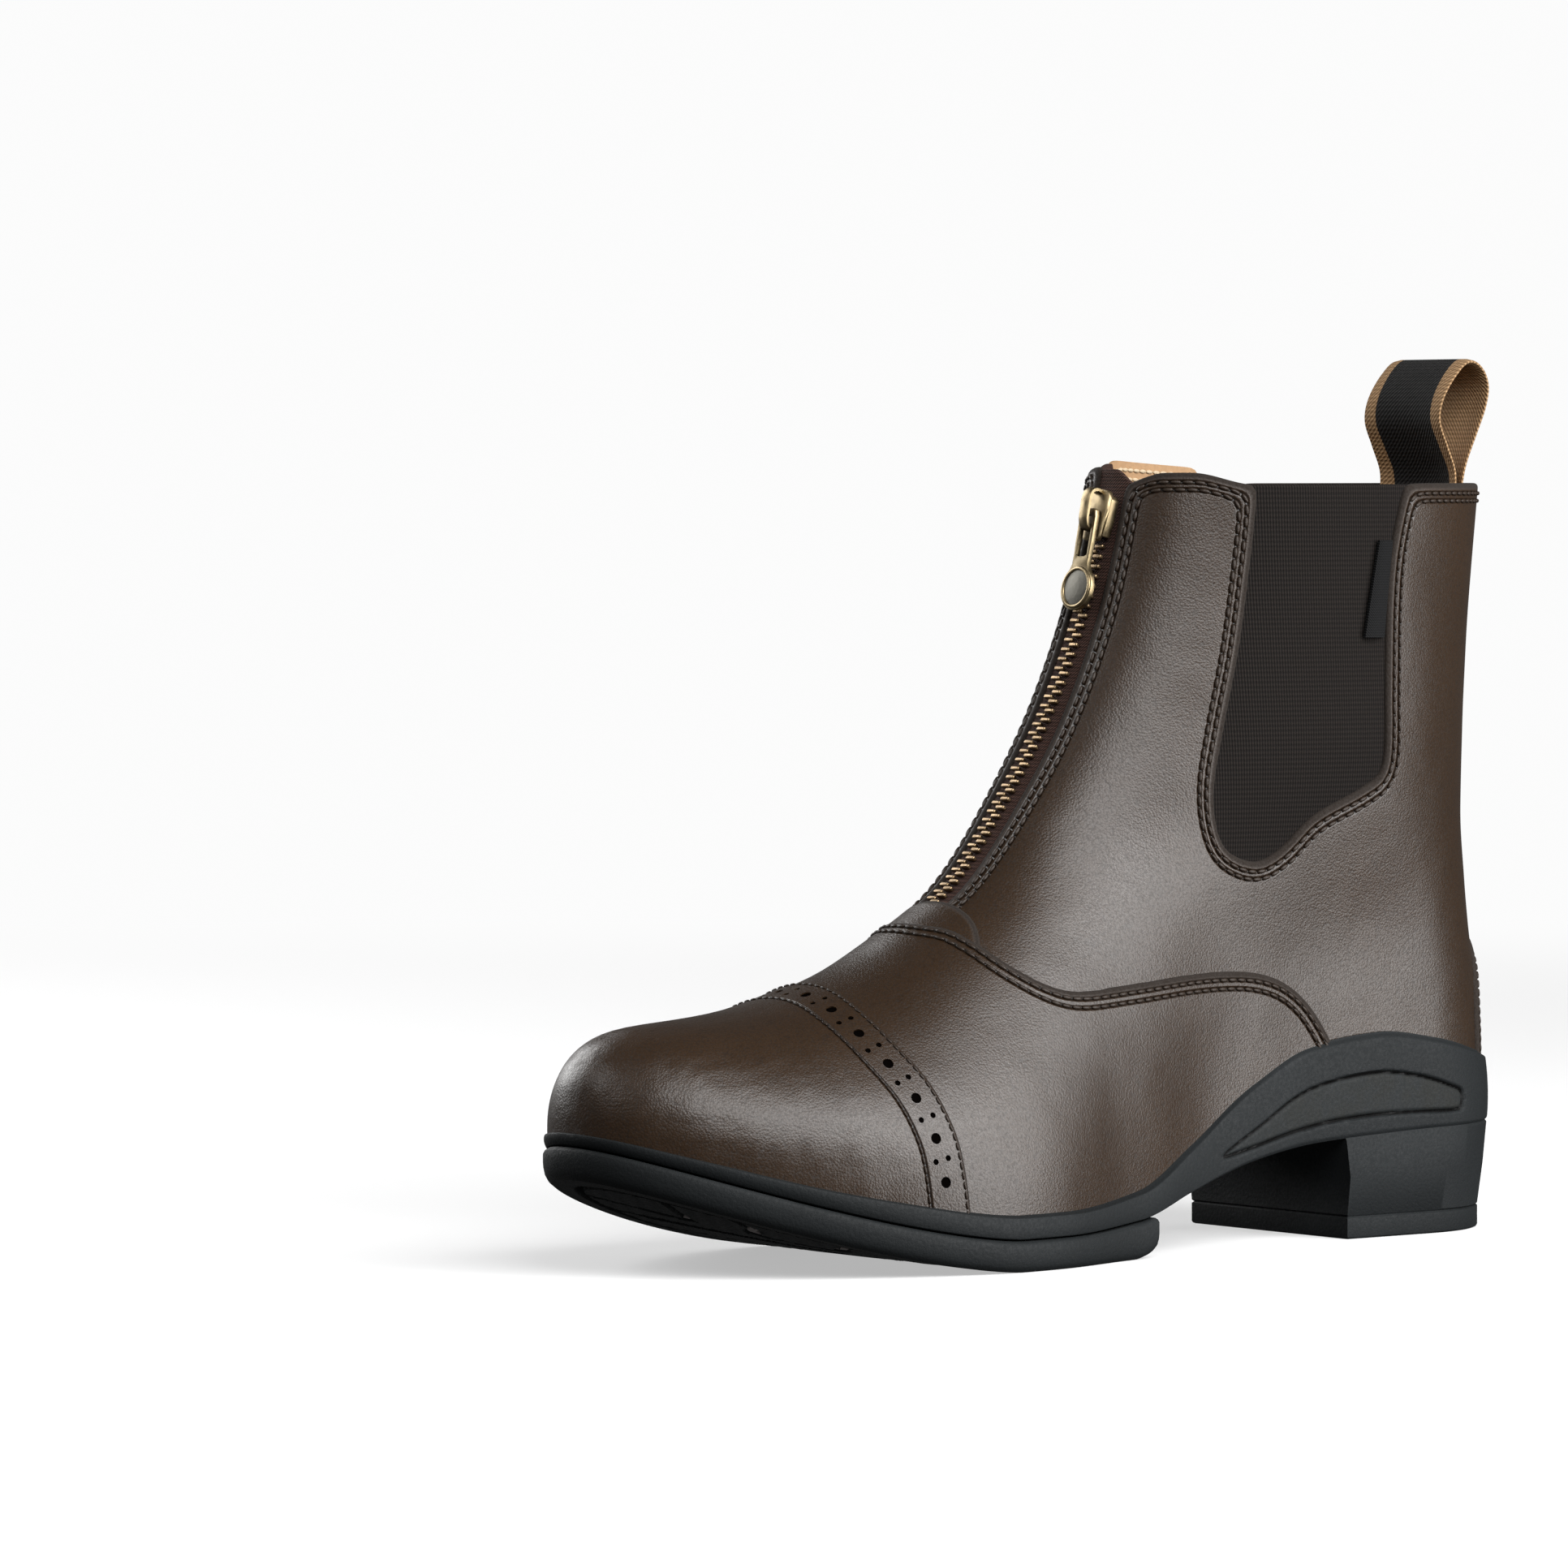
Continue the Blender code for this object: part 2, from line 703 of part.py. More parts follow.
def boolean(target, tool, operation):
    """Apply an exact Boolean at once, so that later steps see its result."""
    step = target.modifiers.new(operation.lower(), "BOOLEAN")
    step.operation = operation
    step.solver = "EXACT"
    step.object = tool
    ready = target.evaluated_get(bpy.context.evaluated_depsgraph_get())
    result = bpy.data.meshes.new_from_object(ready)
    target.modifiers.clear()
    looks = list(target.data.materials)
    target.data = result
    target.data.materials.clear()
    for look in looks:
        target.data.materials.append(look)


def cut(target, tool):
    boolean(target, tool, "DIFFERENCE")


def keep(target, tool):
    boolean(target, tool, "INTERSECT")


# The upper: one hollow piece with both gore openings and the zip's slot cut out

grid = upper_grid(upper_rings)
upper = shell("upper", grid, -upper_wall, 0.0, leather)

gore_curve = side_points_of(gore_outline, 3)
cut(upper, prism("gore_cutter", gore_curve, -ball_width, ball_width))


def slot_prism(name, half_width, foot):
    """A cutter for what lies at the front of the shaft, above a cut square to the front line."""
    outline = [
        (float(front_x(foot)) + 0.012, foot - 0.007),
        (float(front_x(foot)) - 0.020, foot + 0.012),
        (float(front_x(collar_height)) - 0.040, collar_height + 0.020),
        (float(front_x(collar_height)) + 0.012, collar_height + 0.020),
        (float(front_x(0.8 * collar_height)) + 0.012, 0.8 * collar_height),
        (float(front_x(0.6 * collar_height)) + 0.012, 0.6 * collar_height),
    ]
    return prism(name, outline, -half_width, half_width)


cut(upper, slot_prism("slot_cutter", slot_width / 2, slot_foot))

# Pieces laid over the upper, cut from skins just outside it


def over_rand(x):
    return rand_z(x) + 2 * gap


def crossing(line, height):
    """Where a line that runs down first meets a height function."""
    below = np.argmax(line[:, 1] < height(line[:, 0]))
    return line[below]


def rand_path(first, last, count=40):
    x = np.linspace(first, last, count)
    return np.stack([x, over_rand(x)], axis=1)


vamp_line = side_points_of(vamp_seam, 3)
cap_line = side_points_of(cap_seam, 3)
vamp_line = vamp_line[vamp_line[:, 1] > over_rand(vamp_line[:, 0])]
cap_line = cap_line[cap_line[:, 1] > over_rand(cap_line[:, 0])]
beyond_toe = -0.6 * sole_length

toe_cap = shell("toe_cap", grid, gap, gap + cap_thickness, leather)
cap_edge = rand_path(beyond_toe, cap_line[-1, 0] + 0.0004)[::-1]
cap_outline = np.concatenate([cap_line, cap_edge, [(beyond_toe, cap_line[0, 1])]])
keep(toe_cap, prism("cap_cutter", cap_outline, -ball_width, ball_width))

vamp = shell("vamp", grid, gap, gap + overlay_thickness, leather)
vamp_edge = rand_path(cap_line[-1, 0] + 0.0004 + gap, vamp_line[-1, 0])
over_instep = [(vamp_line[0, 0], 0.55 * collar_height), (cap_line[0, 0], 0.55 * collar_height)]
vamp_outline = np.concatenate([vamp_edge, vamp_line[::-1], over_instep, cap_line + [gap, 0]])
keep(vamp, prism("vamp_cutter", vamp_outline, -ball_width, ball_width))

throat_gusset = shell("throat_gusset", grid, gap, gap + 0.8 * overlay_thickness, leather)
keep(throat_gusset, prism("gusset_cutter", side_points_of(gusset_outline, 2, True), -ball_width, ball_width))

heel_counter = shell("heel_counter", grid, gap, gap + overlay_thickness, leather)
counter_back = float(back_x(rand_z(float(x_of(0.03)))))
counter_x = np.array([counter_back - row.ahead * counter_length for row in counter_outline])
counter_up = np.array([row.up * counter_height for row in counter_outline])
counter_edge = rand_path(counter_x[-1], counter_x[0], 8)
counter_shape = np.concatenate([np.stack([counter_x, over_rand(counter_x) + counter_up], axis=1), counter_edge[1:]])
keep(heel_counter, prism("counter_cutter", counter_shape, -ball_width, ball_width))

# Elastic gores, let into their openings


def shrink(outline, distance):
    """A closed outline moved inwards all round."""
    along = np.roll(outline, -1, axis=0) - np.roll(outline, 1, axis=0)
    inward = np.stack([-along[:, 1], along[:, 0]], axis=1)
    inward /= np.linalg.norm(inward, axis=1, keepdims=True)
    area = np.sum(outline[:, 0] * np.roll(outline[:, 1], -1) - np.roll(outline[:, 0], -1) * outline[:, 1])
    return outline + inward * distance * np.sign(area)


for gore_name, low_y, high_y in (("gore_lateral", -ball_width, 0.0), ("gore_medial", 0.0, ball_width)):
    gore = shell(gore_name, grid, -upper_wall, -gore_recess, elastic)
    keep(gore, prism(gore_name + "_cutter", shrink(gore_curve, gap), low_y, high_y))

side_label = shell("side_label", grid, gap - gore_recess, gap - gore_recess + label_thickness, label_cloth)
label_points = np.array([(row.x * sole_length, row.z * collar_height) for row in label_outline])
keep(side_label, prism("label_cutter", label_points, -ball_width, 0.0))

# The zip: tape, chain, slider and pull tab

zip_tape = shell("zip_tape", grid, -tape_recess - tape_thickness, -tape_recess, zip_cloth)
keep(zip_tape, slot_prism("tape_cutter", slot_width / 2 - gap, slot_foot + gap))

slider_z = collar_height - slider_drop
slider_foot = slider_z - 0.55 * slider_length
zip_teeth = shell("zip_teeth", grid, gap - tape_recess, gap - tape_recess + chain_rise, antique_brass)
keep(zip_teeth, slot_prism("chain_cutter", chain_width / 2, slot_foot + 3 * gap))
above_slider = [(-0.1, slider_foot - gap), (0.1, slider_foot - gap), (0.1, 0.3), (-0.1, 0.3)]
cut(zip_teeth, prism("chain_end_cutter", above_slider, -ball_width, ball_width))


def front_frame(z, outward):
    """A point off the front line, with the directions outwards and down along the line."""
    here = np.array([float(front_x(z)), z])
    near = np.array([float(front_x(z - 0.002)), z - 0.002])
    down = (near - here) / np.linalg.norm(near - here)
    out = np.array([down[1], -down[0]])
    out *= -np.sign(out[0]) if out[0] > 0 else 1
    return here + out * outward, out, down


def block(name, length, width, low, high, centre, out, down, shift=0.0):
    """A box on the front of the shaft: length down the front, width across, low to high outwards."""
    points = []
    for d in (shift - length / 2, shift + length / 2):
        for y in (-width / 2, width / 2):
            for o in (low, high):
                at = centre + down * d + out * o
                points.append((at[0], y, at[1]))
    faces = [[0, 1, 3, 2], [4, 6, 7, 5], [0, 4, 5, 1], [2, 3, 7, 6], [0, 2, 6, 4], [1, 5, 7, 3]]
    return mesh_object(name, points, faces, antique_brass)


def join(target, *others):
    for other in others:
        boolean(target, other, "UNION")
        bpy.data.objects.remove(other)


seat, out_way, down_way = front_frame(slider_z, 0.0)
slider_low, slider_high = gap - tape_recess, slider_thickness
bridge_rise = slider_high + 0.0034
slider = block("zip_slider", slider_length, slider_width, slider_low, slider_high, seat, out_way, down_way)
bridge = [
    block("bridge_top", 0.0026, 0.0030, slider_high - 0.0005, bridge_rise, seat, out_way, down_way, -0.0048),
    block("bridge_foot", 0.0016, 0.0030, slider_high - 0.0005, bridge_rise, seat, out_way, down_way, 0.0022),
    block("bridge_bar", 0.0085, 0.0030, bridge_rise - 0.0010, bridge_rise, seat, out_way, down_way, -0.00185),
]
join(slider, *bridge)

hinge_down, hinge_out = -0.0002, slider_high + 0.0012
hinge = seat + down_way * hinge_down + out_way * hinge_out
tab_foot = front_frame(float(hinge[1]) - 0.96 * tab_length, 0.0026)[0]
tab_down = (tab_foot - hinge) / np.linalg.norm(tab_foot - hinge)
tab_out = np.array([tab_down[1], -tab_down[0]])

TabPoint = namedtuple("TabPoint", "down half_width")
tab_side = [  # shares of tab_length and tab_end_width
    TabPoint(-0.031, 0.27),
    TabPoint(0.300, 0.27),
    TabPoint(0.560, 0.25),
    TabPoint(0.640, 0.34),
    TabPoint(0.700, 0.45),
    TabPoint(0.780, 0.50),
    TabPoint(0.860, 0.45),
    TabPoint(0.930, 0.33),
    TabPoint(0.975, 0.18),
]
tab_window = (0.031, 0.46, 0.175)  # from, to and half width, as the same shares


def tab_plate(name, side, collection=None, extra=0.0):
    """A plate in the tab's own plane, drawn from its side points and mirrored across."""
    outline = [(d * tab_length, w * tab_end_width) for d, w in side]
    outline += [(d, -w) for d, w in reversed(outline)]
    count = len(outline)
    points = []
    for o in (-tab_thickness / 2 - extra, tab_thickness / 2 + extra):
        for d, y in outline:
            at = hinge + tab_down * d + tab_out * o
            points.append((at[0], y, at[1]))
    faces = [list(range(count)), list(range(count, 2 * count))]
    faces += [[i, (i + 1) % count, count + (i + 1) % count, count + i] for i in range(count)]
    return mesh_object(name, points, faces, antique_brass, collection)


pull_tab = tab_plate("zip_pull_tab", tab_side)
window = [TabPoint(tab_window[0], tab_window[2]), TabPoint(tab_window[1], tab_window[2])]
cut(pull_tab, tab_plate("tab_window_cutter", window, cutters, 0.001))
tab_origin = Vector((hinge[0], 0.0, hinge[1]))
pull_tab.data.transform(Matrix.Translation(-tab_origin))
pull_tab.location = tab_origin

# The sole unit: one rubber shell with the edge round the forefoot, the shank and the heel cup


def cup_share(x):
    return read(sole_side, "station", "cup_share", station_of(x))


def upper_ring(height):
    return trace_ring(lambda x: np.maximum(height(x), bed_z(x) + gap))


def lip_width(ring):
    """Width of the ledge round the upper: widest beside the ball, narrower at the toe and the heel."""
    station = station_of(ring[:, 0])
    ledge = smooth([0.0, 0.3, 0.5, 0.9, 0.97, 1.0], [1.0, 1.0, 1.5, 1.5, 1.1, 1.0], station)
    return rand_lip * ledge


def half_way(x):
    return 0.5 * (split_z(x) + rand_z(x))


sole_foot = plan_ring(band_step + 0.0004, lambda x: split_z(x) + gap / 2)
sole_low = plan_ring(band_step, lambda x: split_z(x) + 0.0008)
rim = upper_ring(rand_z)
sole_top = offset_ring(rim, gap + lip_width(rim))
sole_shoulder = offset_ring(rim, gap + lip_width(rim) + 0.0004)
sole_shoulder[:, 2] -= 0.0008
sole_mid = 0.5 * (sole_low + sole_shoulder)
inner_mid = offset_ring(upper_ring(lambda x: 0.5 * (bed_z(x) + rand_z(x))), gap)
inner_foot = offset_ring(trace_ring(lambda x: bed_z(x) + gap), gap)
inner_foot[:, 2] -= gap
inner_top = offset_ring(rim, gap)
sole_rings = [sole_foot, sole_low, sole_mid, sole_shoulder, sole_top, inner_top, inner_mid, inner_foot]
sole_unit = stack("sole_unit", sole_rings, sole_rubber)

insole_ring = offset_ring(trace_ring(lambda x: bed_z(x) + gap), -upper_wall - gap)
insole_top = insole_ring + [0, 0, insole_thickness]
insole = stack("insole", [insole_ring, insole_top], lining)

# The forefoot slab with its tread

slab_rings = [
    plan_ring(edge_bevel, tread_z),
    plan_ring(0.0004, lambda x: tread_z(x) + edge_bevel),
    plan_ring(0.0, lambda x: tread_z(x) + 2 * edge_bevel),
    plan_ring(0.0, lambda x: split_z(x) - 0.0012),
    plan_ring(0.0008, lambda x: split_z(x) - gap / 2),
]
outsole = stack("outsole", slab_rings, sole_rubber)
rear_line = smooth_line([(row.x * sole_length, row.y * ball_width) for row in slab_rear], 3)


def deck(name, outline, low, high):
    """A cutter with a plan outline, standing between two heights."""
    count = len(outline)
    rings = [np.column_stack([outline, np.full(count, z)]) for z in (low, high)]
    faces = [list(range(count)), list(range(count, 2 * count))]
    faces += [[i, (i + 1) % count, count + (i + 1) % count, count + i] for i in range(count)]
    return mesh_object(name, np.concatenate(rings), faces, None, cutters)


front_part = np.concatenate([rear_line, [(beyond_toe, rear_line[-1, 1]), (beyond_toe, rear_line[0, 1])]])
keep(outsole, deck("slab_cutter", front_part, -heel_height, 2 * heel_height))


def plan_points(row_points):
    return [(p.x * sole_length, p.y * ball_width) for p in row_points]


def under_tread(x, y):
    return tread_z(x) - tread_depth


def channel_top(x, y):
    return tread_z(x) + tread_depth


def resample(line, spacing):
    """Points at an even spacing along a line."""
    run = np.concatenate([[0], np.cumsum(np.linalg.norm(np.diff(line, axis=0), axis=1))])
    at = np.linspace(0, run[-1], max(2, int(round(run[-1] / spacing)) + 1))
    return np.stack([np.interp(at, run, line[:, axis]) for axis in range(2)], axis=1)


def rear_x(y):
    return np.interp(y, rear_line[::-1, 1], rear_line[::-1, 0])


RearCut = namedtuple("RearCut", "reach rise_at_start rise_at_edge")
rear_cuts = [  # two slopes that round the slab's rear end, measured forward of its edge and up
    RearCut(0.0078, -0.0003, 0.0031),
    RearCut(0.0030, 0.0014, 0.0068),
]
for index, slope in enumerate(rear_cuts):
    sections = []
    for x, y in rear_line:
        for ahead, rise in ((-slope.reach, slope.rise_at_start), (0.003, slope.rise_at_edge)):
            level = tread_z(x + ahead)
            sections += [(x + ahead, y, level - 0.004), (x + ahead, y, level + rise)]
    order = [4 * i + a for i in range(len(rear_line)) for a in (0, 1, 3, 2)]
    wedge = np.array(sections)[order].reshape(len(rear_line), 4, 3)
    faces = ring_faces(len(rear_line), 4) + [[0, 1, 2, 3], [4 * len(rear_line) - 4 + a for a in (3, 2, 1, 0)]]
    cut(outsole, mesh_object(f"rear_cutter_{index}", wedge.reshape(-1, 3), faces, None, cutters))

field = plan_ring(tread_frame, lambda x: 0 * x)[:, :2]
field_rear = rear_line - [tread_frame - 0.001, 0]
rear_limit = np.interp(field[:, 1], field_rear[::-1, 1], field_rear[::-1, 0])
field[:, 0] = np.minimum(field[:, 0], rear_limit)
groove = resample(np.concatenate([field, field[:1]]), 0.009)[:-1]
cut(outsole, ribbon("groove_cutter", groove, tread_groove, under_tread, channel_top, cutters, closed=True))


def in_field(points):
    """The part of a channel's line inside the field, stopped just past its border groove."""
    return resample(np.asarray(points, float), 0.008)


for index, channel in enumerate(tread_channels):
    line = in_field(plan_points(channel))
    cut(outsole, ribbon(f"channel_cutter_{index}", line, tread_groove, under_tread, channel_top, cutters))

for bar_name, branches in tread_bars.items():
    bars = []
    for index, branch in enumerate(branches):
        line = resample(smooth_line(plan_points(branch), 4), 0.0055)
        past = line.copy()
        past[0] += (line[0] - line[1]) / np.linalg.norm(line[0] - line[1]) * tread_groove / 2
        past[-1] += (line[-1] - line[-2]) / np.linalg.norm(line[-1] - line[-2]) * tread_groove / 2
        bed_name = f"{bar_name}_bed_{index}"
        cut(outsole, ribbon(bed_name, past, tread_channel, under_tread, channel_top, cutters))
        low = lambda x, y: tread_z(x) + inlay_recess
        high = lambda x, y: tread_z(x) + tread_depth - gap
        bars.append(ribbon(f"{bar_name}_{index}", line, inlay_width, low, high, None, inlay_rubber))
    bars[0].name = bar_name
    join(bars[0], *bars[1:])

# The heel: a block under the sole unit and a wearing piece under the block


def heel_ring(height, inset, breast):
    """A ring round the heel, flat across its breast."""
    back = float(x_of(0.0)) - inset
    x = breast + (back - breast) * np.sin(np.linspace(0, np.pi / 2, heel_points))
    half = plan_half_width(x, inset)
    outer = np.column_stack([x, centre_of(x) - half, height(x)])
    inner = np.column_stack([x, centre_of(x) + half, height(x)])
    return np.concatenate([outer, inner[-2::-1]])


def heel_stack(name, rings):
    rings = np.array(rings)
    count = rings.shape[1]
    faces = ring_faces(len(rings), count)
    for first in (0, (len(rings) - 1) * count):
        for i in range(heel_points - 1):
            corners = [first + i, first + i + 1, first + count - 2 - i, first + count - 1 - i]
            faces.append(list(dict.fromkeys(corners)))
    return mesh_object(name, rings.reshape(-1, 3), faces, sole_rubber)


breast_top = float(x_of(0.0)) - heel_length - 0.002
breast_foot = float(x_of(0.0)) - heel_length
lift_breast = breast_foot
heel_lift = heel_stack(
    "heel_top_piece",
    [
        heel_ring(lambda x: 0 * x, heel_inset + heel_taper + 0.0004, lift_breast + 0.0004),
        heel_ring(lambda x: 0 * x + 0.0008, heel_inset + heel_taper, lift_breast),
        heel_ring(lambda x: 0 * x + heel_lift_height, heel_inset + heel_taper, lift_breast),
    ],
)
heel_block = heel_stack(
    "heel_block",
    [
        heel_ring(lambda x: 0 * x + heel_lift_height + gap, heel_inset + heel_taper, lift_breast),
        heel_ring(lambda x: 0.5 * (heel_lift_height + split_z(x)), heel_inset + 0.4 * heel_taper, breast_foot),
        heel_ring(lambda x: split_z(x) - gap / 2, heel_inset, breast_top),
    ],
)

# The pull loop: a webbing strap whose ends go down inside the back of the collar

loop_line = smooth_line([(row.back, row.rise) for row in loop_path], 2)
loop_side = np.stack(
    [float(back_x(collar_height)) + loop_line[:, 0] * loop_rise, collar_height + loop_line[:, 1] * loop_rise],
    axis=1,
)
loop_along = np.gradient(loop_side, axis=0)
loop_along /= np.linalg.norm(loop_along, axis=1, keepdims=True)
loop_out = np.stack([-loop_along[:, 1], loop_along[:, 0]], axis=1) * loop_thickness / 2
across = np.linspace(-0.5, 0.5, 5)
loop_points = []
for place, away, share in zip(loop_side, loop_out, loop_line[:, 1]):
    bow = loop_bow * np.clip(1 - share / 0.9, 0, 1)
    skin = []
    for sign, order in ((1, across), (-1, across[::-1])):
        for a in order:
            at = place + sign * away
            skin.append((at[0] - bow * (2 * a) ** 2, a * loop_width, at[1]))
    loop_points.append(skin)
loop_points = np.array(loop_points)
strap_count = loop_points.shape[1]
strap_faces = ring_faces(len(loop_points), strap_count)
for first in (0, (len(loop_points) - 1) * strap_count):
    for i in range(len(across) - 1):
        strap_faces.append([first + i, first + i + 1, first + strap_count - 2 - i, first + strap_count - 1 - i])
pull_loop = mesh_object("pull_loop", loop_points.reshape(-1, 3), strap_faces, webbing)
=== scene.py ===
import math

import bmesh
import bpy
import numpy as np
from mathutils import Matrix, Vector
from mathutils.bvhtree import BVHTree


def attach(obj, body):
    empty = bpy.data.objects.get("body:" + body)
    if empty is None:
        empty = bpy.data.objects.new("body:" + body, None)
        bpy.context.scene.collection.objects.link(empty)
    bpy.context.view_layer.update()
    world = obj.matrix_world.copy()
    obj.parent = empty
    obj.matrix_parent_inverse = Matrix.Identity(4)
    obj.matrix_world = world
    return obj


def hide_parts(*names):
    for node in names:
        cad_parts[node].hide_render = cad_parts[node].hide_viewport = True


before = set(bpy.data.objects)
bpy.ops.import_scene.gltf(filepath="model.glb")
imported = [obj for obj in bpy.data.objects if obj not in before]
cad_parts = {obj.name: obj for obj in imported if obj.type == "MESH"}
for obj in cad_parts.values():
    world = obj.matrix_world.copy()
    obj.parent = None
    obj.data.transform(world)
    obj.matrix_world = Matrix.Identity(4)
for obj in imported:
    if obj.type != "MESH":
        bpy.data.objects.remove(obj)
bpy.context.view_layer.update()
print("stage: CAD frame loaded")

# The last: metres, toe towards -X, outer side -Y. Lengths in the tables are shares of the first three sizes.
last = {
    "soleLength": 0.266,
    "ballWidth": 0.094,
    "collarHeight": 0.180,
    "collarWidth": 0.063,
    "ankleWidth": 0.068,
    "toeSpring": 0.023,
    "springStart": 0.656,
    "springPower": 1.5,
    "toeRound": 0.084,
    "heelRound": 0.030,
    "upperInset": 0.0042,
    "slab": 0.0075,
    "heel": 0.026,
    "foreFloor": 0.0022,
    "heelFloor": 0.006,
    "cupRise": 0.020,
    "gap": 0.0003,
    "blendLow": 0.36,
    "blendHigh": 0.68,
    # station, half width, centre
    "plan": [
        (0.00, 0.328, 0.000), (0.12, 0.334, 0.000), (0.26, 0.334, 0.002), (0.38, 0.336, -0.010),
        (0.50, 0.386, -0.030), (0.61, 0.470, -0.028), (0.70, 0.500, -0.006), (0.80, 0.488, 0.022),
        (0.90, 0.462, 0.048), (1.00, 0.430, 0.066),
    ],
    # station, heel share, cup share, floor share
    "side": [
        (0.00, 1.00, 0.43, 1.0), (0.04, 1.00, 0.50, 1.0), (0.12, 0.98, 0.76, 1.0),
        (0.19, 0.94, 0.90, 1.0), (0.27, 0.87, 0.86, 0.9), (0.34, 0.71, 0.66, 0.6),
        (0.42, 0.38, 0.36, 0.3), (0.50, 0.08, 0.19, 0.1), (0.60, 0.00, 0.15, 0.0),
        (0.74, 0.00, 0.15, 0.0), (0.85, 0.00, 0.10, 0.0), (1.00, 0.00, 0.06, 0.0),
    ],
    # station, height
    "front": [
        (0.9915, 0.165), (0.9910, 0.205), (0.9864, 0.250), (0.9701, 0.283), (0.9366, 0.304),
        (0.8707, 0.312), (0.8138, 0.323), (0.7742, 0.341), (0.7093, 0.375), (0.6760, 0.404),
        (0.6463, 0.432), (0.6050, 0.472), (0.5377, 0.590), (0.4890, 0.699), (0.4444, 0.846),
        (0.4149, 1.000),
    ],
    # height, station
    "back": [
        (0.10, 0.0120), (0.23, 0.0099), (0.32, 0.0140), (0.40, 0.0226), (0.47, 0.0292), (0.56, 0.0358),
        (0.67, 0.0328), (0.77, 0.0257), (0.89, 0.0160), (1.00, 0.0069), (1.10, -0.0002),
    ],
    # station, squareness, bulge
    "foot": [
        (0.00, 2.6, 0.03), (0.40, 2.2, 0.03), (0.55, 1.9, 0.02), (0.65, 1.85, 0.01), (0.75, 2.1, 0.01),
        (0.85, 2.4, 0.02), (1.00, 2.4, 0.03),
    ],
    # height, width share, widest place, front power, back power
    "shaft": [
        (0.30, 0.3, 0.62, 2.0, 2.5), (0.50, 0.0, 0.62, 2.0, 2.4), (0.65, 0.1, 0.58, 2.0, 2.3),
        (0.85, 0.7, 0.52, 2.0, 2.2), (1.00, 1.0, 0.50, 2.1, 2.2),
    ],
}

# Side-view lines, as shares of the sole's length and the collar's height
seams = {
    "gore": [
        (0.1770, 1.060), (0.1724, 0.995), (0.1618, 0.889), (0.1468, 0.783), (0.1262, 0.677),
        (0.1150, 0.610), (0.1150, 0.560), (0.1270, 0.522), (0.1595, 0.505), (0.1881, 0.522),
        (0.2220, 0.564), (0.2764, 0.599), (0.2985, 0.622), (0.3020, 0.680), (0.3029, 0.727),
        (0.3110, 0.888), (0.3311, 0.995), (0.3440, 1.060),
    ],
    "vamp": [
        (-0.1850, 0.480), (-0.1560, 0.436), (-0.1377, 0.425), (-0.1291, 0.410), (-0.1128, 0.382),
        (-0.0837, 0.356), (-0.0514, 0.347), (0.0150, 0.354), (0.0874, 0.362), (0.1477, 0.362),
        (0.1876, 0.351), (0.2175, 0.328), (0.2420, 0.292), (0.2640, 0.240), (0.2760, 0.180),
    ],
    "cap": [
        (-0.2430, 0.420), (-0.2490, 0.356), (-0.2505, 0.326), (-0.2430, 0.287), (-0.2275, 0.238),
        (-0.2160, 0.178), (-0.2120, 0.127), (-0.2095, 0.086), (-0.2060, 0.030),
    ],
}


def smooth(keys, values, at):
    # monotone curve through a table's points
    keys, values = np.asarray(keys, float), np.asarray(values, float)
    step = np.diff(keys)
    slope = np.diff(values) / step
    tangent = np.zeros_like(values)
    first, second = 2 * step[1:] + step[:-1], step[1:] + 2 * step[:-1]
    with np.errstate(divide="ignore", invalid="ignore"):
        harmonic = (first + second) / (first / slope[:-1] + second / slope[1:])
    tangent[1:-1] = np.where(slope[:-1] * slope[1:] > 0, harmonic, 0.0)
    tangent[0], tangent[-1] = slope[0], slope[-1]
    at = np.clip(np.asarray(at, float), keys[0], keys[-1])
    i = np.clip(np.searchsorted(keys, at, side="right") - 1, 0, len(step) - 1)
    u = (at - keys[i]) / step[i]
    return (
        values[i] * (1 + 2 * u) * (1 - u) ** 2
        + tangent[i] * step[i] * u * (1 - u) ** 2
        + values[i + 1] * u**2 * (3 - 2 * u)
        + tangent[i + 1] * step[i] * u**2 * (u - 1)
    )


def column(table, index, at):
    rows = sorted(last[table])
    return smooth([r[0] for r in rows], [r[index] for r in rows], at)


def ease(share):
    share = np.clip(share, 0.0, 1.0)
    return share * share * (3 - 2 * share)


def rounding(distance, length, power=2.2):
    inward = 1 - np.clip(distance / length, 0.0, 1.0)
    return (1 - inward**power) ** (1 / power)


def stationOf(x):
    return 0.5 - np.asarray(x, float) / last["soleLength"]


def xOf(station):
    return (0.5 - np.asarray(station, float)) * last["soleLength"]


def fullHalfWidth(x):
    return column("plan", 1, stationOf(x)) * last["ballWidth"]


def centreOf(x):
    return column("plan", 2, stationOf(x)) * last["ballWidth"]


def planHalfWidth(x, inset):
    x = np.asarray(x, float)
    toe = rounding(x - (xOf(1.0) + inset), last["toeRound"])
    heel = rounding((xOf(0.0) - inset) - x, last["heelRound"])
    return (fullHalfWidth(x) - inset) * toe * heel


def treadZ(x):
    share = np.clip((stationOf(x) - last["springStart"]) / (1 - last["springStart"]), 0.0, 1.0)
    return last["toeSpring"] * share ** last["springPower"]


def splitZ(x):
    heel = column("side", 1, stationOf(x))
    return treadZ(x) + last["slab"] * (1 - heel) + last["heel"] * heel


def bedZ(x):
    share = column("side", 3, stationOf(x))
    return splitZ(x) + last["foreFloor"] + (last["heelFloor"] - last["foreFloor"]) * share


def randZ(x):
    return bedZ(x) + last["cupRise"] * column("side", 2, stationOf(x))


def runOf(line):
    # the length along a line, up to each of its points
    return np.concatenate([[0], np.cumsum(np.linalg.norm(np.diff(line, axis=0), axis=1))])


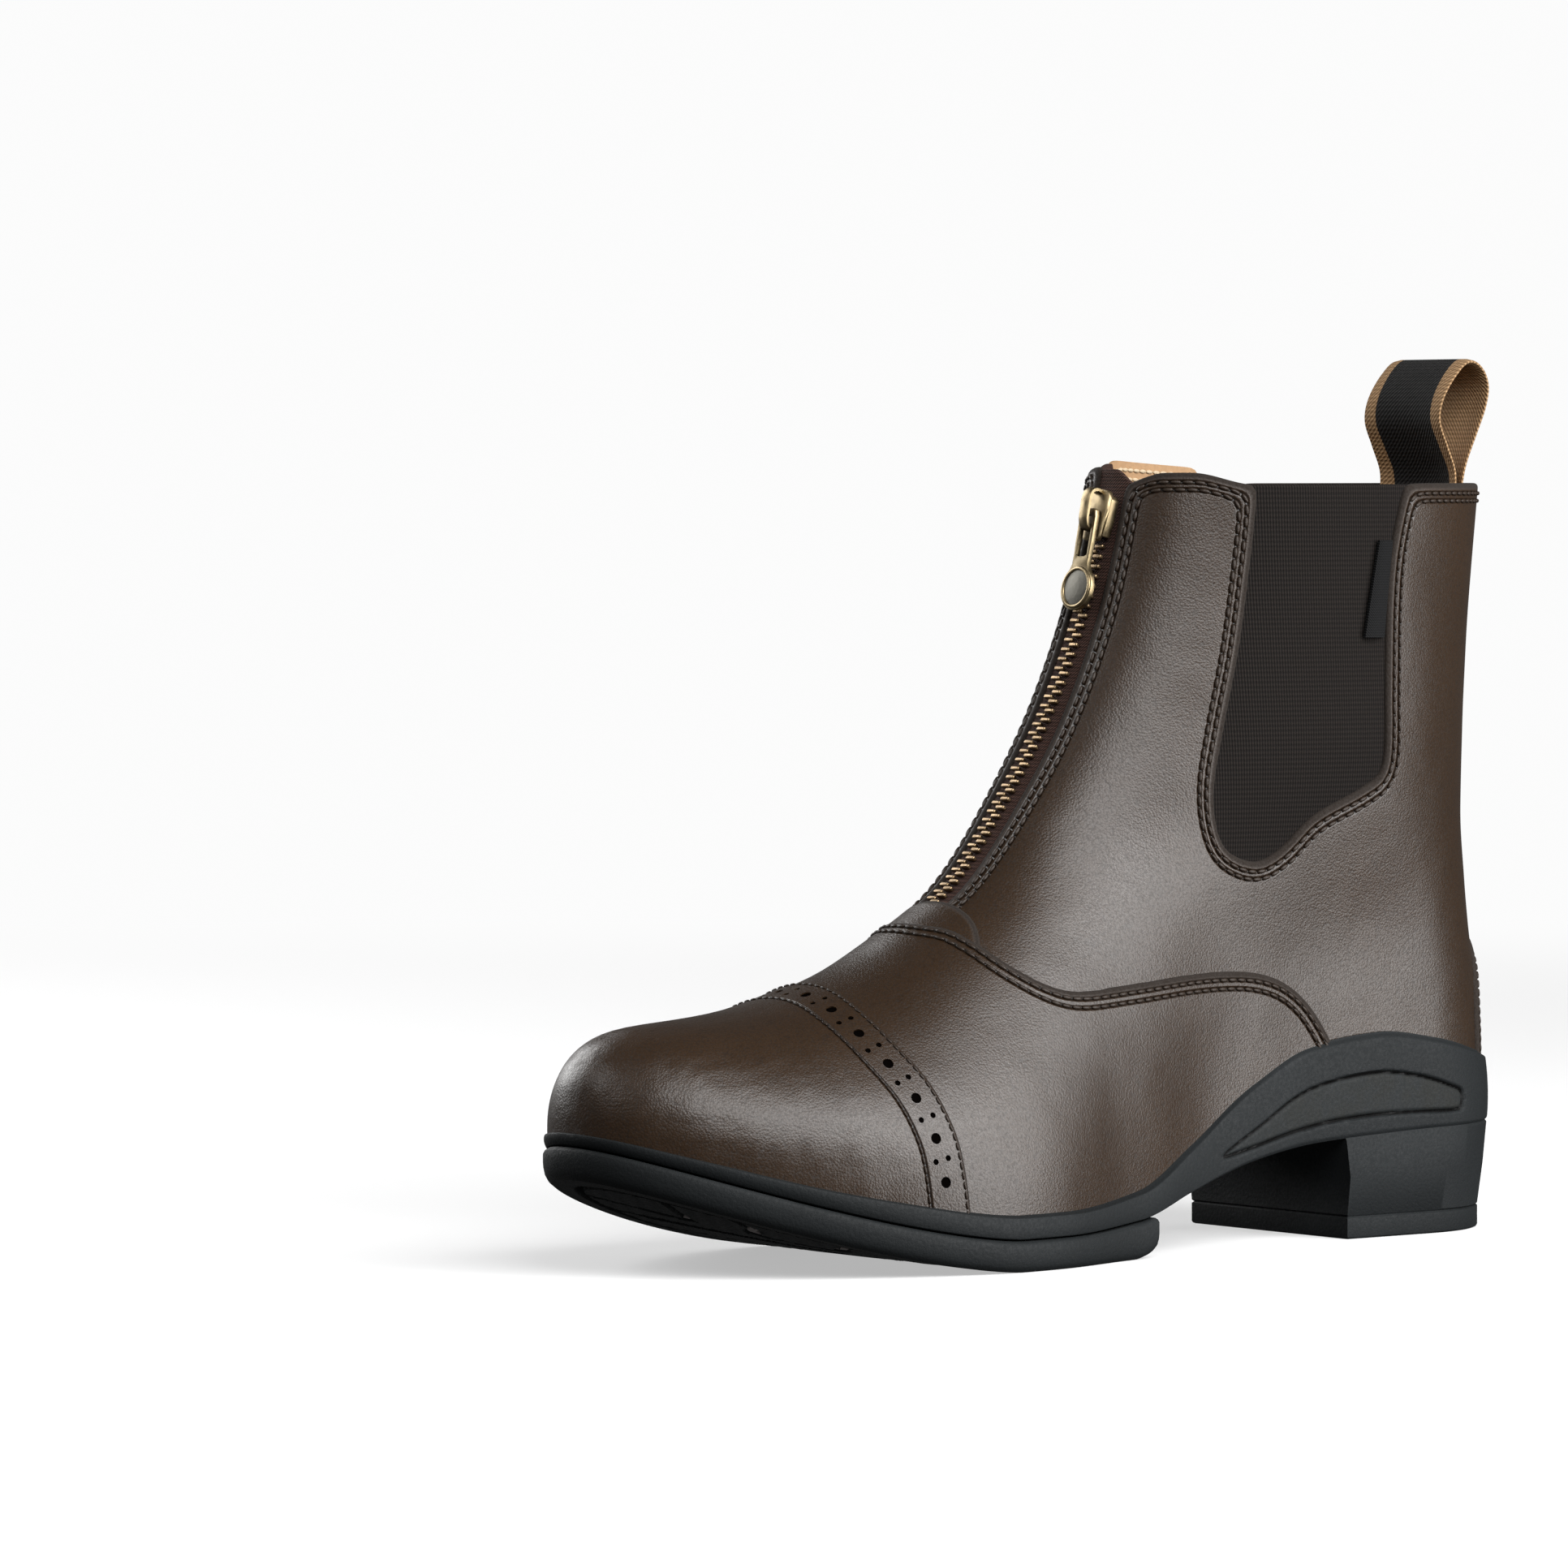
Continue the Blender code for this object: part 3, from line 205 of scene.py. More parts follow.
frontPath = np.array([(float(xOf(s)), h * last["collarHeight"]) for s, h in last["front"]])
frontRun = runOf(frontPath)
frontShare = np.linspace(0, frontRun[-1], 400)
pathX, pathZ = (smooth(frontRun, frontPath[:, axis], frontShare) for axis in range(2))


def frontZ(x):
    above = pathZ[-1] + (np.asarray(x, float) - pathX[-1]) * 5.0
    return np.where(x > pathX[-1], above, np.interp(x, pathX, pathZ))


def frontX(z):
    above = pathX[-1] + (np.asarray(z, float) - pathZ[-1]) / 5.0
    return np.where(z > pathZ[-1], above, np.interp(z, pathZ, pathX))


def backX(z):
    return xOf(column("back", 1, np.asarray(z, float) / last["collarHeight"]))


def shaftTurn(z):
    low, high = last["blendLow"], last["blendHigh"]
    return ease((z / last["collarHeight"] - low) / (high - low))


def upperHalfWidth(x, z):
    x, z = np.asarray(x, float), np.asarray(z, float)
    height, station = z / last["collarHeight"], stationOf(x)
    reach = np.maximum(frontZ(x) - bedZ(x), 1e-6)
    rise = np.clip((z - bedZ(x)) / reach, 0.0, 1.0)
    swell = 1 + column("foot", 2, station) * np.sin(np.pi * np.minimum(rise / 0.7, 1))
    toe = rounding(x - pathX[0], last["toeRound"] - last["upperInset"])
    heel = rounding(backX(z) - x, last["heelRound"])
    side = np.sqrt(1 - rise ** column("foot", 1, station))
    foot = (fullHalfWidth(x) - last["upperInset"]) * toe * heel * swell * side

    place = np.clip((x - frontX(z)) / np.maximum(backX(z) - frontX(z), 1e-6), 0.0, 1.0)
    widest, frontPower, backPower = (column("shaft", i, height) for i in (2, 3, 4))
    ahead = np.clip((widest - place) / widest, 0.0, 1.0)
    behind = np.clip((place - widest) / (1 - widest), 0.0, 1.0)
    oval = (1 - ahead**frontPower) ** (1 / frontPower) * (1 - behind**backPower) ** (1 / backPower)
    width = last["ankleWidth"] + (last["collarWidth"] - last["ankleWidth"]) * column("shaft", 1, height)
    return foot + (width / 2 * oval - foot) * shaftTurn(z)


def upperCentre(x, z):
    return centreOf(x) * (1 - shaftTurn(z))


def ringShares(count):
    return (1 - np.cos(np.linspace(0, np.pi, count))) / 2


def closeRing(x, half, centre, z):
    outer = np.stack([x, centre - half, z], axis=-1)
    inner = np.stack([x, centre + half, z], axis=-1)[-2:0:-1]
    return np.concatenate([outer, inner])


def traceRing(trace, count):
    x = np.linspace(float(xOf(1.0)), float(xOf(-0.01)), 12001)
    z = trace(x)
    inside = x[(z <= frontZ(x)) & (x >= pathX[0]) & (x <= backX(z))]
    x = inside[0] + (inside[-1] - inside[0]) * ringShares(count)
    z = trace(x)
    return closeRing(x, upperHalfWidth(x, z), upperCentre(x, z), z)


def planRing(inset, height, count):
    x = float(xOf(1.0)) + inset + (last["soleLength"] - 2 * inset) * ringShares(count)
    return closeRing(x, planHalfWidth(x, inset), centreOf(x), height(x))


def offsetRing(ring, distance):
    along = np.roll(ring, -1, axis=0) - np.roll(ring, 1, axis=0)
    outward = np.stack([along[:, 1], -along[:, 0]], axis=1)
    outward /= np.linalg.norm(outward, axis=1, keepdims=True)
    moved = ring.copy()
    moved[:, :2] += outward * np.reshape(distance, (-1, 1))
    return moved


def smoothLine(points, perSpan, closed=False):
    points = np.asarray(points, float)
    if closed:
        padded = np.concatenate([points[-1:], points, points[:2]])
    else:
        padded = np.concatenate([2 * points[:1] - points[1:2], points, 2 * points[-1:] - points[-2:-1]])
    u = (np.arange(perSpan) / perSpan)[:, None]
    out = []
    for p0, p1, p2, p3 in zip(padded[:-3], padded[1:-2], padded[2:-1], padded[3:]):
        turn = (2 * p0 - 5 * p1 + 4 * p2 - p3) * u**2 + (3 * p1 - p0 - 3 * p2 + p3) * u**3
        out.append(0.5 * (2 * p1 + (p2 - p0) * u + turn))
    return np.concatenate(out if closed else out + [points[-1:]])


def sideLine(name):
    return smoothLine(np.array(seams[name]) * [last["soleLength"], last["collarHeight"]], 24)


def pointsAt(line, run, places):
    return np.stack([np.interp(places, run, line[:, axis]) for axis in range(line.shape[1])], axis=1)


def resample(line, spacing):
    run = runOf(line)
    return pointsAt(line, run, np.linspace(0, run[-1], max(2, int(round(run[-1] / spacing)) + 1)))


def evened(line, passes):
    # the line with its kinks smoothed out and its ends kept
    for step in range(passes):
        line[1:-1] = (line[:-2] + 2 * line[1:-1] + line[2:]) / 4
    return line


def unit(vectors):
    return vectors / np.maximum(np.linalg.norm(vectors, axis=-1, keepdims=True), 1e-12)


def leftOf(path):
    # the directions across a flat path, to its left
    along = unit(np.gradient(path, axis=0))
    return np.stack([-along[:, 1], along[:, 0]], axis=1)


def fullTurn(count):
    return np.linspace(0, 2 * np.pi, count + 1)[:-1]


def flatAt(height):
    return lambda at: 0 * at + height


# Materials


def addNode(tree, kind, settings=None, inputs=None):
    # one node; an input is a plain value or the socket that feeds it
    made = tree.nodes.new(kind)
    for key, value in (settings or {}).items():
        setattr(made, key, value)
    for key, value in (inputs or {}).items():
        if isinstance(value, bpy.types.NodeSocket):
            tree.links.new(value, made.inputs[key])
        else:
            made.inputs[key].default_value = value
    return made


class Value:
    # a number or colour inside a shader, with arithmetic that adds Math nodes
    def __init__(self, graph, socket):
        self.graph, self.socket = graph, socket

    def maths(self, operation, *others):
        return self.graph.maths(operation, self, *others)

    def __add__(self, other):
        return self.maths("ADD", other)

    def __sub__(self, other):
        return self.maths("SUBTRACT", other)

    def __mul__(self, other):
        return self.maths("MULTIPLY", other)

    def __truediv__(self, other):
        return self.maths("DIVIDE", other)

    def __rsub__(self, other):
        return self.graph.maths("SUBTRACT", other, self)

    def __rtruediv__(self, other):
        return self.graph.maths("DIVIDE", other, self)

    __radd__ = __add__
    __rmul__ = __mul__


class Graph:
    # one Principled material and the nodes that feed it
    def __init__(self, name, colour, roughness, **constants):
        self.material = bpy.data.materials.new(name)
        self.material.use_nodes = True
        self.tree = self.material.node_tree
        self.shader = self.tree.nodes["Principled BSDF"]
        self.set("Base Color", (*colour, 1.0))
        self.set("Roughness", roughness)
        for key, value in constants.items():
            self.set(key.replace("_", " "), value)

    def set(self, name, value):
        if isinstance(value, Value):
            self.tree.links.new(value.socket, self.shader.inputs[name])
        else:
            self.shader.inputs[name].default_value = value

    def node(self, kind, settings=None, inputs=None, output=0):
        inputs = {key: getattr(value, "socket", value) for key, value in (inputs or {}).items()}
        return Value(self, addNode(self.tree, kind, settings, inputs).outputs[output])

    def maths(self, operation, *values):
        return self.node("ShaderNodeMath", {"operation": operation}, dict(enumerate(values)))

    def place(self):
        return self.node("ShaderNodeTexCoord", output="Object")

    def uv(self):
        return self.node("ShaderNodeUVMap", {"uv_map": "weave"})

    def axis(self, vector, name):
        return self.node("ShaderNodeSeparateXYZ", None, {0: vector}, name)

    def attribute(self, name):
        return self.node("ShaderNodeAttribute", {"attribute_name": name}, output="Fac")

    def noise(self, scale, detail=3.0, roughness=0.55):
        inputs = {"Vector": self.place(), "Scale": scale, "Detail": detail, "Roughness": roughness}
        return self.node("ShaderNodeTexNoise", None, inputs, "Fac")

    def cells(self, scale):
        inputs = {"Vector": self.place(), "Scale": scale}
        return self.node("ShaderNodeTexVoronoi", {"feature": "F1"}, inputs, "Distance")

    def turned(self, turn):
        return self.node("ShaderNodeMapping", None, {"Vector": self.place(), "Rotation": turn})

    def ramp(self, value, low, high, start=0.0, end=1.0):
        inputs = {"Value": value, "From Min": low, "From Max": high, "To Min": start, "To Max": end}
        return self.node("ShaderNodeMapRange", {"interpolation_type": "SMOOTHSTEP"}, inputs)

    def ridge(self, value, centre, width):
        # 1 at the centre, falling to 0 a width away on both sides
        return self.ramp((value - centre).maths("ABSOLUTE"), 0.0, width, 1.0, 0.0)

    def mix(self, factor, first, second):
        first, second = (c if isinstance(c, Value) else (*c, 1.0) for c in (first, second))
        inputs = {0: factor, 6: first, 7: second}  # a Mix node's sockets for colours
        return self.node("ShaderNodeMix", {"data_type": "RGBA"}, inputs, 2)

    def bump(self, height, distance, below=None):
        inputs = {"Height": height, "Distance": distance, "Strength": 1.0}
        if below:
            inputs["Normal"] = below
        return self.node("ShaderNodeBump", None, inputs)


def tinted(colour, share):
    return tuple(share * c for c in colour)


def leatherLook(name, colour, rows):
    # rows: distances from a folded edge where a stitch line pulls the leather down; along them the colour is
    # darkened as painted shade
    g = Graph(name, colour, 0.36, Specular_IOR_Level=0.42)
    edge = g.attribute("edge")
    broad = g.noise(22.0, 3.0)
    mottle = g.noise(320.0, 4.0, 0.6)
    dark = tinted(colour, 0.45)
    tone = g.mix(g.ramp(broad, 0.35, 0.7), colour, tinted(colour, 1.22))
    tone = g.mix(g.ramp(mottle, 0.52, 0.75) * 0.35, tone, dark)
    pores = g.cells(1900.0)
    grain = g.noise(1500.0, 3.0, 0.6)
    wrinkle = g.noise(560.0, 3.0, 0.6)
    dent = g.noise(38.0, 2.0, 0.4)
    pits = g.ramp(pores, 0.42, 0.80)
    tone = g.mix(pits * 0.55, tone, dark)
    # painted shade: the colour darkens within about 2 mm of the edge, where the leather rolls under
    tone = g.mix(g.ramp(edge, 0.0008, 0.0018, 0.95, 0.0), tone, tinted(colour, 0.42))
    seam = 0.0
    for row in rows:
        seam = g.ridge(edge, row, 0.0008) + seam
    # painted shade: the colour goes nearly black along each stitch row, in the groove the stitches pull down
    if rows:
        tone = g.mix(seam, tone, tinted(colour, 0.16))
    g.set("Base Color", tone)
    rough = g.ramp(grain, 0.3, 0.7, 0.30, 0.40) + pits * 0.08
    g.set("Roughness", rough + g.ramp(edge, 0.0008, 0.0020, 0.55, 0.0))
    fine = g.bump(pores * -1.0 + grain * 0.5, 0.00005)
    soft = g.bump(wrinkle, 0.00002, fine)
    soft = g.bump(dent, 0.0008, soft)
    if rows:
        soft = g.bump(seam * -1.0, 0.00040, soft)
    g.set("Normal", soft)
    return g.material


def rubberLook(name, colour, ribs=False):
    g = Graph(name, colour, 0.62, Specular_IOR_Level=0.14)
    grain = g.noise(1300.0, 3.0, 0.6)
    cloud = g.noise(35.0, 3.0)
    pale = tinted(colour, 1.55)
    tone = g.mix(g.ramp(cloud, 0.3, 0.75) * 0.5, colour, pale)
    if not ribs:  # the sunk panel on the heel cup, and painted shade in the groove round it
        mottled = g.mix(g.ramp(g.noise(120.0, 4.0, 0.7), 0.3, 0.7), pale, (0.0125, 0.0130, 0.0115))
        tone = g.mix(g.attribute("panel") * 0.7, tone, mottled)
        # painted shade: near black along the groove round the panel
        tone = g.mix(g.ramp(g.attribute("line"), 0.25, 0.7), tone, (0.0006, 0.0006, 0.0006))
    g.set("Base Color", tone)
    g.set("Roughness", g.ramp(grain, 0.3, 0.7, 0.55, 0.72))
    normal = g.bump(grain, 0.00013)
    if ribs:
        wave = g.axis(g.turned((0.0, 0.0, 0.75)), "X") * 5200.0
        line = wave.maths("SINE") * g.attribute("ribs")
        normal = g.bump(line, 0.00022, normal)
    g.set("Normal", normal)
    return g.material


def clothLook(name, colour, pale, acrossPitch, alongPitch, depth, slant=0.0):
    # a weave over a UV map in metres: U across the cloth and V along it
    g = Graph(name, colour, 0.88, Specular_IOR_Level=0.15)
    u, v = g.axis(g.uv(), "X"), g.axis(g.uv(), "Y")
    across = ((u + v * slant) * (2 * math.pi / acrossPitch)).maths("SINE")
    along = (v * (2 * math.pi / alongPitch)).maths("SINE")
    weave = across + along * 0.6
    fuzz = g.noise(2400.0, 2.0)
    g.set("Base Color", g.mix(g.ramp(weave + fuzz, -0.4, 2.0), colour, pale))
    g.set("Normal", g.bump(weave * 0.5 + fuzz * 0.4, depth))
    return g.material


def metalLook(name, colour, worn):
    g = Graph(name, colour, 0.36, Metallic=1.0)
    patina = g.noise(420.0, 4.0, 0.65)
    edge = g.node("ShaderNodeNewGeometry", output="Pointiness")
    rubbed = g.ramp(edge, 0.50, 0.56)
    g.set("Base Color", g.mix(rubbed.maths("MAXIMUM", g.ramp(patina, 0.5, 0.72) * 0.7), colour, worn))
    g.set("Roughness", g.ramp(patina, 0.3, 0.7, 0.28, 0.5))
    g.set("Normal", g.bump(patina, 0.00004))
    return g.material


def plainLook(name, colour, roughness, grainScale=1200.0, depth=0.00006, **constants):
    g = Graph(name, colour, roughness, **constants)
    grain = g.noise(grainScale, 3.0)
    g.set("Base Color", g.mix(g.ramp(grain, 0.35, 0.7) * 0.5, colour, tinted(colour, 1.3)))
    g.set("Normal", g.bump(grain, depth))
    return g.material


# Distances of the stitch rows from each leather's edge
seamRows = {
    "quarter": (0.0024, 0.0042),
    "vamp": (0.0020, 0.0041),
    "cap": (0.0012, 0.0106),
    "counter": (0.0016,),
}
brown, soleGrey = (0.0190, 0.0097, 0.0042), (0.0080, 0.0093, 0.0100)
loopWeave = (0.0011, 0.0011, 0.00016, 1.0)
looks = {
    "quarter": leatherLook("quarterLeather", brown, seamRows["quarter"]),
    "vamp": leatherLook("vampLeather", brown, seamRows["vamp"]),
    "cap": leatherLook("capLeather", brown, seamRows["cap"]),
    "plain": leatherLook("plainLeather", brown, ()),
    "gore": clothLook(
        "goreElastic", (0.0026, 0.0018, 0.0015), (0.0115, 0.0086, 0.0072), 0.00072, 0.00114, 0.00012),
    "tape": clothLook(
        "zipTape", (0.0120, 0.0060, 0.0045), (0.080, 0.042, 0.033), 0.0008, 0.0008, 0.00016, 1.0),
    "webbing": clothLook("loopBlack", (0.0045, 0.0045, 0.0045), (0.018, 0.017, 0.0165), *loopWeave),
    "webTan": clothLook("loopTan", (0.15, 0.088, 0.042), (0.34, 0.215, 0.115), *loopWeave),
    "label": clothLook(
        "labelCloth", (0.0020, 0.0020, 0.0022), (0.0080, 0.0080, 0.0085), 0.0006, 0.0006, 0.00006, 1.0),
    "brass": metalLook("antiqueBrass", (0.050, 0.039, 0.021), (0.27, 0.21, 0.12)),
    "patina": plainLook("darkPatina", (0.105, 0.100, 0.085), 0.45, 700.0, 0.00005, Metallic=0.9),
    "gold": metalLook("toothBrass", (0.052, 0.036, 0.020), (0.25, 0.175, 0.10)),
    "rubber": rubberLook("soleRubber", soleGrey),
    "tread": rubberLook("treadRubber", soleGrey, True),
    "inlay": plainLook("inlayRubber", (0.24, 0.205, 0.20), 0.6),
    "lining": plainLook("tanLining", (0.30, 0.18, 0.09), 0.75, 900.0, 0.00012),
    "thread": plainLook("darkThread", (0.0150, 0.0085, 0.0046), 0.5, 2500.0, 0.0001, Specular_IOR_Level=0.3),
    "cream": plainLook("creamThread", (0.42, 0.33, 0.22), 0.7, 2500.0, 0.0001),
    # painted shade: a near-black sheet seen through the toe cap's holes
    "black": plainLook("paintedHoleShade", (0.0012, 0.0009, 0.0008), 1.0, Specular_IOR_Level=0.0),
}
print("stage: materials made")


def linked(name, data):
    made = bpy.data.objects.new(name, data)
    bpy.context.scene.collection.objects.link(made)
    return made


def smoothFaces(mesh, sharp):
    mesh.shade_smooth()
    mesh.set_sharp_from_angle(angle=math.radians(sharp))


def settle(piece):
    # the piece's modifiers become its plain mesh
    ready = piece.evaluated_get(bpy.context.evaluated_depsgraph_get())
    plain = bpy.data.meshes.new_from_object(ready)
    piece.modifiers.clear()
    piece.data = plain
    return plain


def setWeave(mesh, uvs):
    # a UV map from one place in metres for each point
    corners = np.empty(len(mesh.loops), dtype=np.int32)
    mesh.loops.foreach_get("vertex_index", corners)
    layer = mesh.uv_layers.new(name="weave")
    layer.data.foreach_set("uv", np.asarray(uvs, float)[corners].astype(np.float32).ravel())


def weaveAlong(piece, axes):
    setWeave(piece.data, np.array([point.co for point in piece.data.vertices])[:, axes])


def meshObject(name, points, faces, look, sharp=50.0, uvs=None, values=None, faceLooks=None):
    mesh = bpy.data.meshes.new(name)
    mesh.from_pydata(np.asarray(points, float).tolist(), [], [list(map(int, f)) for f in faces])
    for made in look if isinstance(look, (list, tuple)) else [look]:
        mesh.materials.append(looks[made])
    if uvs is not None:
        setWeave(mesh, uvs)
    for key, data in (values or {}).items():
        mesh.attributes.new(key, "FLOAT", "POINT").data.foreach_set("value", np.asarray(data, np.float32))
    if faceLooks is not None:
        mesh.polygons.foreach_set("material_index", np.asarray(faceLooks, np.int32))
    made = linked(name, mesh)
    smoothFaces(mesh, sharp)
    return made


def faceOut(piece):
    built = bmesh.new()
    built.from_mesh(piece.data)
    bmesh.ops.recalc_face_normals(built, faces=built.faces)
    built.to_mesh(piece.data)
    built.free()
    return piece


def finishPiece(piece, replaced=(), body="boot"):
    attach(piece, body)
    if replaced:
        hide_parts(*replaced)
    return piece


def ringFaces(rings, count):
    faces = []
    for ring in range(rings - 1):
        low, high = ring * count, (ring + 1) * count
        for i in range(count):
            j = (i + 1) % count
            faces.append([low + i, low + j, high + j, high + i])
    return faces


def ladder(first, count):
    faces = []
    for i in range(count // 2):
        corners = [first + (step % count) for step in (i, i + 1, count - i - 1, count - i)]
        corners = list(dict.fromkeys(corners))
        if len(corners) > 2:
            faces.append(corners)
    return faces


def stackPiece(name, rings, look, sharp, topped=True, **more):
    rings = np.array(rings)
    count = rings.shape[1]
    faces = ringFaces(len(rings), count) + ladder(0, count)
    if topped:
        faces += ladder((len(rings) - 1) * count, count)
    return faceOut(meshObject(name, rings.reshape(-1, 3), faces, look, sharp, **more))


def endFaces(rows, count):
    return [list(range(count)), [(rows - 1) * count + i for i in reversed(range(count))]]


def stripPiece(name, sections, look):
    # a solid swept through a row of equal closed sections, with flat ends
    sections = np.array(sections)
    rows, count = sections.shape[:2]
    faces = ringFaces(rows, count) + endFaces(rows, count)
    return faceOut(meshObject(name, sections.reshape(-1, 3), faces, look))


# Geometry Nodes that copy a small shape onto points


def inputOf(tree, name):
    return next(item.identifier for item in tree.interface.items_tree if item.name == name)


copySizes = ("Length", "Width", "Depth")
copyShapes = {
    "bead": ("GeometryNodeMeshUVSphere", {"Segments": 8, "Rings": 6, "Radius": 0.5}),
    "block": ("GeometryNodeMeshCube", {"Size": (1.0, 1.0, 1.0)}),
    "pin": ("GeometryNodeMeshCylinder", {"Vertices": 20, "Radius": 0.5, "Depth": 1.0}),
}


def copiesTree(name, shape):
    tree = bpy.data.node_groups.new(name, "GeometryNodeTree")
    kinds = {"Points": "Geometry", **dict.fromkeys(copySizes, "Float"), "Material": "Material"}
    for key, kind in kinds.items():
        tree.interface.new_socket(key, in_out="INPUT", socket_type="NodeSocket" + kind)
    tree.interface.new_socket("Copies", in_out="OUTPUT", socket_type="NodeSocketGeometry")
    entry = addNode(tree, "NodeGroupInput")
    sizes = {axis: entry.outputs[key] for axis, key in enumerate(copySizes)}
    size = addNode(tree, "ShaderNodeCombineXYZ", None, sizes)
    shapeKind, shapeSizes = copyShapes[shape]
    made = addNode(tree, shapeKind, None, shapeSizes)
    named = "GeometryNodeInputNamedAttribute"
    turn = addNode(tree, named, {"data_type": "FLOAT_VECTOR"}, {"Name": "turn"})
    grow = addNode(tree, named, {"data_type": "FLOAT"}, {"Name": "grow"})
    grown = {0: size.outputs[0], "Scale": grow.outputs["Attribute"]}
    scale = addNode(tree, "ShaderNodeVectorMath", {"operation": "SCALE"}, grown)
    copies = addNode(tree, "GeometryNodeInstanceOnPoints", None, {
        "Points": entry.outputs["Points"],
        "Instance": made.outputs["Mesh"],
        "Rotation": turn.outputs["Attribute"],
        "Scale": scale.outputs[0],
    })
    solid = addNode(tree, "GeometryNodeRealizeInstances", None, {0: copies.outputs[0]})
    painted = {"Geometry": solid.outputs[0], "Material": entry.outputs["Material"]}
    paint = addNode(tree, "GeometryNodeSetMaterial", None, painted)
    addNode(tree, "NodeGroupOutput", None, {0: paint.outputs[0]})
    return tree


trees = {shape: copiesTree(f"{shape}Copies", shape) for shape in copyShapes}


def turnsOf(along, normals):
    # Euler angles that lay X along a line and Z along the surface's normal
    turns = []
    for a, n in zip(unit(along), unit(normals)):
        across = unit(np.cross(n, a))
        frameHere = Matrix((a, across, np.cross(a, across))).transposed()
        turns.append(tuple(frameHere.to_euler()))
    return turns


def copiesPiece(name, shape, points, turns, size, look, grow=None):
    host = bpy.data.meshes.new(name + "Points")
    host.from_pydata(np.asarray(points, float).tolist(), [], [])
    turned = host.attributes.new("turn", "FLOAT_VECTOR", "POINT")
    turned.data.foreach_set("vector", np.asarray(turns, np.float32).ravel())
    grown = np.ones(len(points)) if grow is None else np.asarray(grow)
    host.attributes.new("grow", "FLOAT", "POINT").data.foreach_set("value", grown.astype(np.float32))
    piece = linked(name, host)
    step = piece.modifiers.new("copies", "NODES")
    tree = trees[shape]
    step.node_group = tree
    for key, value in zip(copySizes, size):
        step[inputOf(tree, key)] = value
    step[inputOf(tree, "Material")] = looks[look]
    smoothFaces(settle(piece), 60)
    return piece


# The last's surface: a fine grid of rings from the sole bed up past the collar

gridSize = {"rings": 120, "points": 125, "top": 0.1895, "passes": 3}


def levelTrace(share, top):
    low = last["heel"] + last["heelFloor"]
    return lambda x: low + (top - low) * share + (bedZ(x) + last["gap"] - low) * (1 - share) ** 2


def bodyGrid():
    shares = np.linspace(0, 1, gridSize["rings"]) ** 1.08
    grid = np.array([traceRing(levelTrace(share, gridSize["top"]), gridSize["points"]) for share in shares])
    for step in range(gridSize["passes"]):
        around = (np.roll(grid, 1, axis=1) + 2 * grid + np.roll(grid, -1, axis=1)) / 4
        grid = around.copy()
        grid[1:-1] = (around[:-2] + 2 * around[1:-1] + around[2:]) / 4
    along = np.roll(grid, -1, axis=1) - np.roll(grid, 1, axis=1)
    normals = unit(np.cross(along, np.gradient(grid, axis=0)))
    return grid, normals


bodyPoints, bodyNormals = bodyGrid()
ringCount, aroundCount = bodyPoints.shape[:2]
flatPoints, flatNormals = bodyPoints.reshape(-1, 3), bodyNormals.reshape(-1, 3)
bodyQuads = np.array(ringFaces(ringCount, aroundCount))
bodyTree = BVHTree.FromPolygons(flatPoints.tolist(), bodyQuads.tolist())
print("stage: last's surface", len(flatPoints))


def castDown(points):
    # the nearest places on the last's surface, with their outward normals
    found = [bodyTree.find_nearest(p) for p in np.asarray(points, float).tolist()]
    at = np.array([f[0] for f in found])
    out = np.array([f[1] for f in found])
    middle = np.column_stack([at[:, 0], centreOf(at[:, 0]), at[:, 2]])
    away = np.sum(out * (at - middle), axis=1) < 0
    level = np.abs(at[:, 1] - middle[:, 1]) < 0.004
    out[away & ~level] *= -1
    return at, out


def onSide(line, side):
    # a side-view line laid on one side of the last
    x, z = line.T
    kept = (z <= frontZ(x)) & (x <= backX(z)) & (z > bedZ(x) + 0.0015) & (z < gridSize["top"])
    x, z = x[kept], z[kept]
    return np.stack([x, upperCentre(x, z) + side * upperHalfWidth(x, z), z], axis=1)


def acrossBoth(line):
    return np.concatenate([onSide(line, -1)[::-1], onSide(line, 1)])


def laidOn(curve):
    return castDown(evened(resample(curve, 0.001), 2))[0]


def insideOutline(x, z, outline):
    inside = np.zeros(x.shape, bool)
    for (x0, z0), (x1, z1) in zip(outline, np.roll(outline, -1, axis=0)):
        crosses = (z0 > z) != (z1 > z)
        inside ^= crosses & (x < (x1 - x0) * (z - z0) / (z1 - z0 + 1e-15) + x0)
    return inside


def distanceTo(curve):
    # straight distance from every grid point to a line on the surface
    line = resample(curve, 0.00025)
    near = np.full(len(flatPoints), 0.05)
    low, high = line.min(0) - 0.02, line.max(0) + 0.02
    close = np.all((flatPoints > low) & (flatPoints < high), axis=1)
    closeOnes = np.nonzero(close)[0]
    for part in np.array_split(closeOnes, max(1, len(closeOnes) // 400)):
        gaps = np.linalg.norm(flatPoints[part, None] - line[None], axis=2)
        near[part] = gaps.min(axis=1)
    return np.minimum(near, 0.05)


x, y, z = flatPoints.T
outerSide = y < upperCentre(x, z)
goreLine, vampLine, capLine = (sideLine(name) for name in ("gore", "vamp", "cap"))
goreCurves = [laidOn(onSide(goreLine, side)) for side in (-1, 1)]
vampCurve, capCurve = (laidOn(acrossBoth(line)) for line in (vampLine, capLine))


def signOf(outline):
    # 1 inside a side-view outline and -1 outside it
    return np.where(insideOutline(x, z, outline), 1.0, -1.0)


def aheadOf(line):
    # the outline of all that lies between a seam and the toe
    return np.concatenate([line, [(line[-1, 0], -0.05), (-0.3, -0.05), (-0.3, 0.12), (line[0, 0], 0.12)]])


goreField = np.minimum(*(distanceTo(curve) for curve in goreCurves)) * signOf(goreLine)
vampField = distanceTo(vampCurve) * signOf(aheadOf(vampLine))
capField = distanceTo(capCurve) * signOf(aheadOf(capLine))

